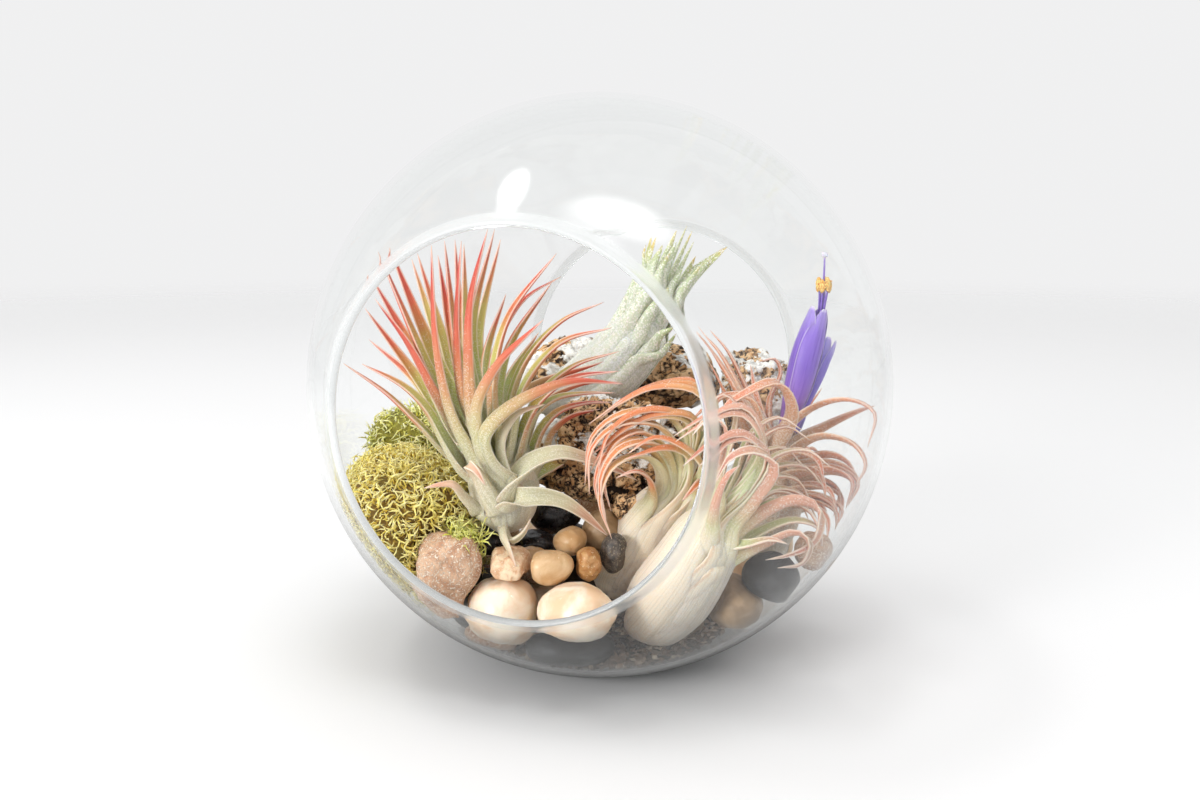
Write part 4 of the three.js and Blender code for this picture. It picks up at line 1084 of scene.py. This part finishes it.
# Bloom
# The violet bloom of the rosy plant: two tubes of thin petals rolled over each other and a
# shut bud, with the threads, pollen sacs and pistil standing out of the taller tube.
petal_stations = 44
petal_thickness = 0.35
petal_cross = np.sin(np.linspace(-1, 1, 15) * math.pi / 2)
mouth_x, mouth_y = 63.2, -6


def tube_frames(rows, count):
    """A smooth path with radii, and two directions square to it."""
    path = smooth_path(rows, count)
    run = unit(np.gradient(path[:, :3], axis=0))
    first = square_to(np.tile([0.3, -1.0, 0.0], (count, 1)), run)
    return path, first, np.cross(run, first)


def petal_grid(rows, turn, wrap, flare):
    """One petal of a rolled tube, as rings of points, thin and rounded off at its tip."""
    path, first, second = tube_frames(rows, petal_stations)
    place = np.linspace(0, 1, petal_stations)
    narrow = np.sqrt(np.clip(1 - ((place - 0.55) / 0.46) ** 4, 0, 1)) * (place > 0.55) + (place <= 0.55)
    half = wrap * np.maximum(narrow, 0.03)
    rings, marks = [], []
    for inner, crossing in ((-1, petal_cross), (1, petal_cross[-2:0:-1])):
        for c in crossing:
            angle = turn + c * half
            edge = np.sqrt(max(1 - c * c, 0))
            ruffle = 0.05 * np.sin(9 * c + 14 * place + turn) * eased(place, 0.55, 1)
            reach = path[:, 3] * (0.94 - 0.06 * c + ruffle + flare * eased(place, 0.75, 1))
            reach = (reach - inner * edge * petal_thickness / 2)[:, None]
            rings.append(path[:, :3] + first * reach * np.cos(angle)[:, None]
                         + second * reach * np.sin(angle)[:, None])
            marks.append(np.stack([place, np.full(petal_stations, c),
                                   np.full(petal_stations, turn / 6.3)], axis=1))
    return np.stack(rings, axis=1), np.stack(marks, axis=1)


def round_grid(rows, count, sides):
    """A plain tapering thread."""
    path, first, second = tube_frames(rows, count)
    turn = np.linspace(0, 2 * math.pi, sides, endpoint=False)[None, :, None]
    reach = path[:, None, 3:]
    grid = path[:, None, :3] + first[:, None] * reach * np.cos(turn) + second[:, None] * reach * np.sin(turn)
    along = np.repeat(np.linspace(0, 1, count), sides)
    return grid, np.stack([along, np.zeros(len(along)), np.full(len(along), 0.5)], 1).reshape(count, sides, 3)


def petal_finish(name, stops):
    material, look = new_material(name)
    along, cross, leaf = (attribute(look.id_data, label) for label in ("along", "cross", "leaf"))
    veins = streaks(cross, 14.0, along, 2.0, leaf, 19.0)
    colour = colour_ramp(veins * 0.16 + (along + -0.08), stops)
    deep = take(look.id_data, "ShaderNodeHueSaturation", {"Saturation": 1.2, "Value": 0.68, "Color": colour})
    colour = blended(veins.ramp(0.5, 0.68) * 0.7, colour, deep)
    rim = maths("MAXIMUM", maths("ABSOLUTE", cross).ramp(0.93, 1.0), along.ramp(0.965, 1.0))
    plug(look, {"Base Color": blended(rim * 0.7, colour, "#E9E0F5"), "Roughness": 0.45, "Sheen Weight": 0.2})
    bumped(look, veins, 0.5, 0.15)
    glowing(look, 0.35, (0.8, 0.5, 1.0), 1)
    return material


def around_mouth(turn, reach, height):
    return mouth_x + reach * math.cos(turn), mouth_y + reach * math.sin(turn), height


tall_rows = [
    (52, -10, 64, 1.6), (54, -9, 71, 2.6), (56.5, -8, 80, 4),
    (59, -7, 90, 4.3), (61.5, -6, 98, 3.2), (62.5, -6, 102, 2.3),
]
short_rows = [
    (56, -4, 66, 1.2), (59.5, -2.5, 75, 2.2), (62.5, -2, 83, 3), (65, -2, 89, 2.6), (67, -2, 93, 1.4),
]
bud_rows = [(54, -1, 61, 1.2), (58, 1.5, 67, 2.3), (61, 2, 72, 0.9)]
tall_grids = [petal_grid(tall_rows, turn, 1.45, flare) for turn, flare in ((0.3, -0.1), (2.4, 0), (4.5, 0.1))]
for number in range(6):
    turn = number * math.pi / 3
    ring = [math.cos(turn), math.sin(turn)]
    stem = [(62 + 0.9 * ring[0], -6 + 0.9 * ring[1], 96, 0.28),
            (62.8 + 0.8 * ring[0], -6 + 0.8 * ring[1], 102, 0.26),
            (*around_mouth(turn, 1.3, 107.4), 0.2)]
    tall_grids.append(round_grid(stem, 12, 7))
pistil = [(62, -6, 96, 0.34), (63, -6, 106, 0.32), (mouth_x, mouth_y, 116.4, 0.26)]
tall_grids.append(round_grid(pistil, 18, 8))
bloom_pieces = {
    "flower_tall": (tall_grids,
                    {0: "#A06FB5", 0.25: "#8E62BE", 0.55: "#7C58C4", 0.8: "#8767CC", 1: "#A793DC"}),
    "flower_short": ([petal_grid(short_rows, turn, 1.3, 0.1) for turn in (1.0, 3.1, 5.2)],
                     {0: "#8A66BE", 0.4: "#6F55C6", 0.8: "#8C7BD8", 1: "#B9AEE6"}),
    "flower_bud": ([petal_grid(bud_rows, turn, 1.5, -0.1) for turn in (0.6, 2.7, 4.8)],
                   {0: "#6E58A6", 0.5: "#5B4AA0", 1: "#7B6BC0"}),
}
for node, (grids, stops) in bloom_pieces.items():
    petals = tube_set(node.replace("flower_", "bloom_"), grids, ("along", "cross", "leaf"))
    petals.data.materials.append(petal_finish(node.replace("flower_", "petal_"), stops))
    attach(petals, "root")
    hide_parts(node)


def grain_ball(place, size, fineness, dice, lumps):
    """A small ball roughened into grains, as points and faces in the planting's frame."""
    shape = bmesh.new()
    bmesh.ops.create_icosphere(shape, subdivisions=fineness, radius=1)
    points = np.array([v.co[:] for v in shape.verts])
    faces = [[v.index for v in f.verts] for f in shape.faces]
    shape.free()
    points *= 1 + lumps * np.array([dice.uniform(-1, 1) for _ in points])[:, None]
    return points * size + np.array(place), faces


def balls_to_object(name, balls):
    points, faces = [], []
    first = 0
    for ball, sides in balls:
        faces += [[v + first for v in side] for side in sides]
        first += len(ball)
        points.append(ball)
    return outward(new_object(name, to_part(np.vstack(points)), faces))


def grain_finish(name, low, high, size):
    material, look = new_material(name)
    grains = noise(own_place(look.id_data), size * MM, 3.0)
    plug(look, {"Base Color": blended(grains.ramp(0.38, 0.62), low, high), "Roughness": 0.85})
    bumped(look, grains, 0.8, 0.15)
    glowing(look, 0.2, (1.0, 0.2, 0.1), 0.5)
    return material


bloom_dice = random.Random(12)
sacs = []
for number in range(6):
    place = around_mouth(number * math.pi / 3, 1.45, 108.2 + 0.7 * (number % 2))
    sacs.append(grain_ball(place, (0.85, 0.85, 1.9), 3, bloom_dice, 0.09))
for number in range(26):
    place = around_mouth(bloom_dice.uniform(0, 6.28), 2.0, bloom_dice.uniform(106.8, 110))
    sacs.append(grain_ball(place, (0.34, 0.34, 0.34), 1, bloom_dice, 0.15))
tip = [grain_ball((mouth_x, mouth_y, 116.9), (0.9, 0.9, 0.75), 3, bloom_dice, 0.08)]
for number in range(9):
    place = around_mouth(bloom_dice.uniform(0, 6.28), 0.7, bloom_dice.uniform(116.6, 117.5))
    tip.append(grain_ball(place, (0.3, 0.3, 0.35), 1, bloom_dice, 0.1))
for node, balls, finish, slot_name in (
    ("flower_anthers", sacs, grain_finish("pollen_grain", "#DE9A34", "#FBD87C", 0.5), "pollen"),
    ("flower_stigma", tip, grain_finish("stigma_grain", "#E2D8EE", "#FBF7FF", 0.4), "stigma"),
):
    grains = balls_to_object(node.replace("flower_", "bloom_"), balls)
    grains.data.materials.append(finish)
    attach(grains, "root")
    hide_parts(node)


# Moss
# Dried reindeer moss: clumps of fine curling threads that fork again and again, straw and
# lime at their tips, with painted shade darkening them towards their roots and the core,
# pressed against the glass. Sprigs cover each clump.
def thread_mesh(points, radii, first):
    """A three-sided tapering thread that ends in a point."""
    points = np.array(points)
    run = unit(np.gradient(points, axis=0))
    one = square_to(np.tile([0.31, 0.83, 0.46], (len(points), 1)), run)
    two = np.cross(run, one)
    rows = []
    for step in range(3):
        turn = step * 2 * math.pi / 3
        rows.append(points + (one * math.cos(turn) + two * math.sin(turn)) * np.array(radii)[:, None])
    rings = np.stack(rows, axis=1)[:-1].reshape(-1, 3)
    faces = ring_faces(len(points) - 1, 3, first)
    top = first + len(rings)
    last = top - 3
    faces += [(last + j, last + (j + 1) % 3, top) for j in range(3)]
    faces.append((first + 2, first + 1, first))
    return np.vstack([rings, points[-1:]]), faces


def moss_sprig(name, seed, branches, reach, thickness):
    dice = random.Random(seed)
    points, faces, height = [], [], []

    def grow(start, heading, length, radius, level):
        steps = 4 if level == 0 else 2
        path = [np.array(start)]
        axle = unit(np.array([dice.uniform(-1, 1) for _ in range(3)]))
        for _ in range(steps):
            heading = unit(heading + 0.85 * np.cross(axle, heading))
            path.append(path[-1] + heading * length / steps)
        first = sum(len(rows) for rows in points)
        rows, sides = thread_mesh(path, np.linspace(radius, radius * 0.6, len(path)), first)
        points.append(rows)
        faces.extend(sides)
        height.append(np.clip((np.linalg.norm(rows, axis=1)) / (0.8 * reach), 0, 1))
        if level == 0:
            for step in (2, 3):
                away = unit(heading + 1.3 * np.array([dice.uniform(-1, 1) for _ in range(3)]))
                grow(path[step], away, length * 0.55, radius * 0.8, 1)

    for number in range(branches):
        turn = number * 2.4 + dice.uniform(-0.4, 0.4)
        heading = unit(np.array([math.cos(turn), math.sin(turn), dice.uniform(0.3, 1.4)]))
        grow((0, 0, -0.6), heading, 1.5 * reach * dice.uniform(0.8, 1.1), thickness, 0)
    sprig = new_object(name, np.vstack(points) * MM, faces)
    mark_points(sprig.data, height=np.concatenate(height))
    return sprig


def moss_finish(name, stops, tint):
    material, look = new_material(name)
    place = own_place(look.id_data)
    patch = noise(place, 8 * MM, 4.0)
    fine = noise(place, 0.9 * MM, 3.0)
    # Painted shade: the colour darkens towards the threads' roots and the core, which lies at height 0.
    shade = fine * 0.35 + (attribute(look.id_data, "height") + -0.175)
    colour = blended(patch.ramp(0.45, 0.65) * 0.4, colour_ramp(shade, stops), blended(shade, "#77702E", tint))
    plug(look, {"Base Color": colour, "Roughness": 0.85, "Sheen Weight": 0.1})
    bumped(look, fine, 0.6, 0.1)
    glowing(look, 0.35, (1.0, 0.8, 0.3), 0.8)
    return material


def rescaled(mesh, middle, factor):
    """Moves each point towards or from a middle by a factor that its distance gives."""
    away = points_of(mesh) - np.array(middle)
    length = np.linalg.norm(away, axis=1, keepdims=True)
    points = np.array(middle) + away * factor(length)
    mesh.vertices.foreach_set("co", points.astype(np.float32).ravel())
    mesh.update()


# Seed, branches and reach of a sprig, thread radius, spacing of sprigs, fineness and sink of
# the core in millimetres, ramp from root to tip with painted shade at the root, and the tint
# of its patches
moss_clumps = {
    "moss_front": (4, 5, 4.1, 0.31, 1.92, 4, 3.6, {
        0: "#6A5018", 0.12: "#D2B048", 0.28: "#F8D860", 0.6: "#FFE87A", 1: "#FFF2A6"}, "#F4DC5C"),
    "moss_back": (8, 5, 3.6, 0.31, 2.4, 4, 2.6, {
        0: "#7E7826", 0.12: "#BCB848", 0.28: "#E2DE64", 0.6: "#F6F08C", 1: "#FFFABE"}, "#D0E65A"),
    "moss_lime": (15, 6, 4.4, 0.3, 1.7, 4, 0.8, {
        0: "#9A9A34", 0.3: "#C9CC4C", 0.65: "#DEDD60", 1: "#F2EE90"}, "#D6DE56"),
}
moss_room = globe_radius - wall - 0.4 * MM
for number, (node, values) in enumerate(moss_clumps.items()):
    seed, branches, reach, thickness, spacing, fineness, sink, stops, tint = values
    clump = rounded_form(node, node + "_clump", fineness, 2)
    low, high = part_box(node)
    rescaled(clump.data, (low + high) / 2, lambda length: 1 - sink * MM / np.maximum(length, 2 * sink * MM))
    # The core is marked at height 0, where the painted shade is darkest.
    mark_points(clump.data, height=np.zeros(len(clump.data.vertices)))
    finish = moss_finish(node + "_threads", stops, tint)
    clump.data.materials.append(finish)
    sprig = moss_sprig(node + "_sprig", seed, branches, reach, thickness)
    skinned(clump, cover_tree, sprig=sprig, spacing=spacing * MM, size=1.0, size_spread=0.3, lean=0.7,
            seed=number + 3, finish=finish)
    bpy.data.objects.remove(sprig)
    rescaled(clump.data, globe_centre, lambda length: np.minimum(1, moss_room / np.maximum(length, 1e-6)))
    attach(clump, "root")
    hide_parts(node)
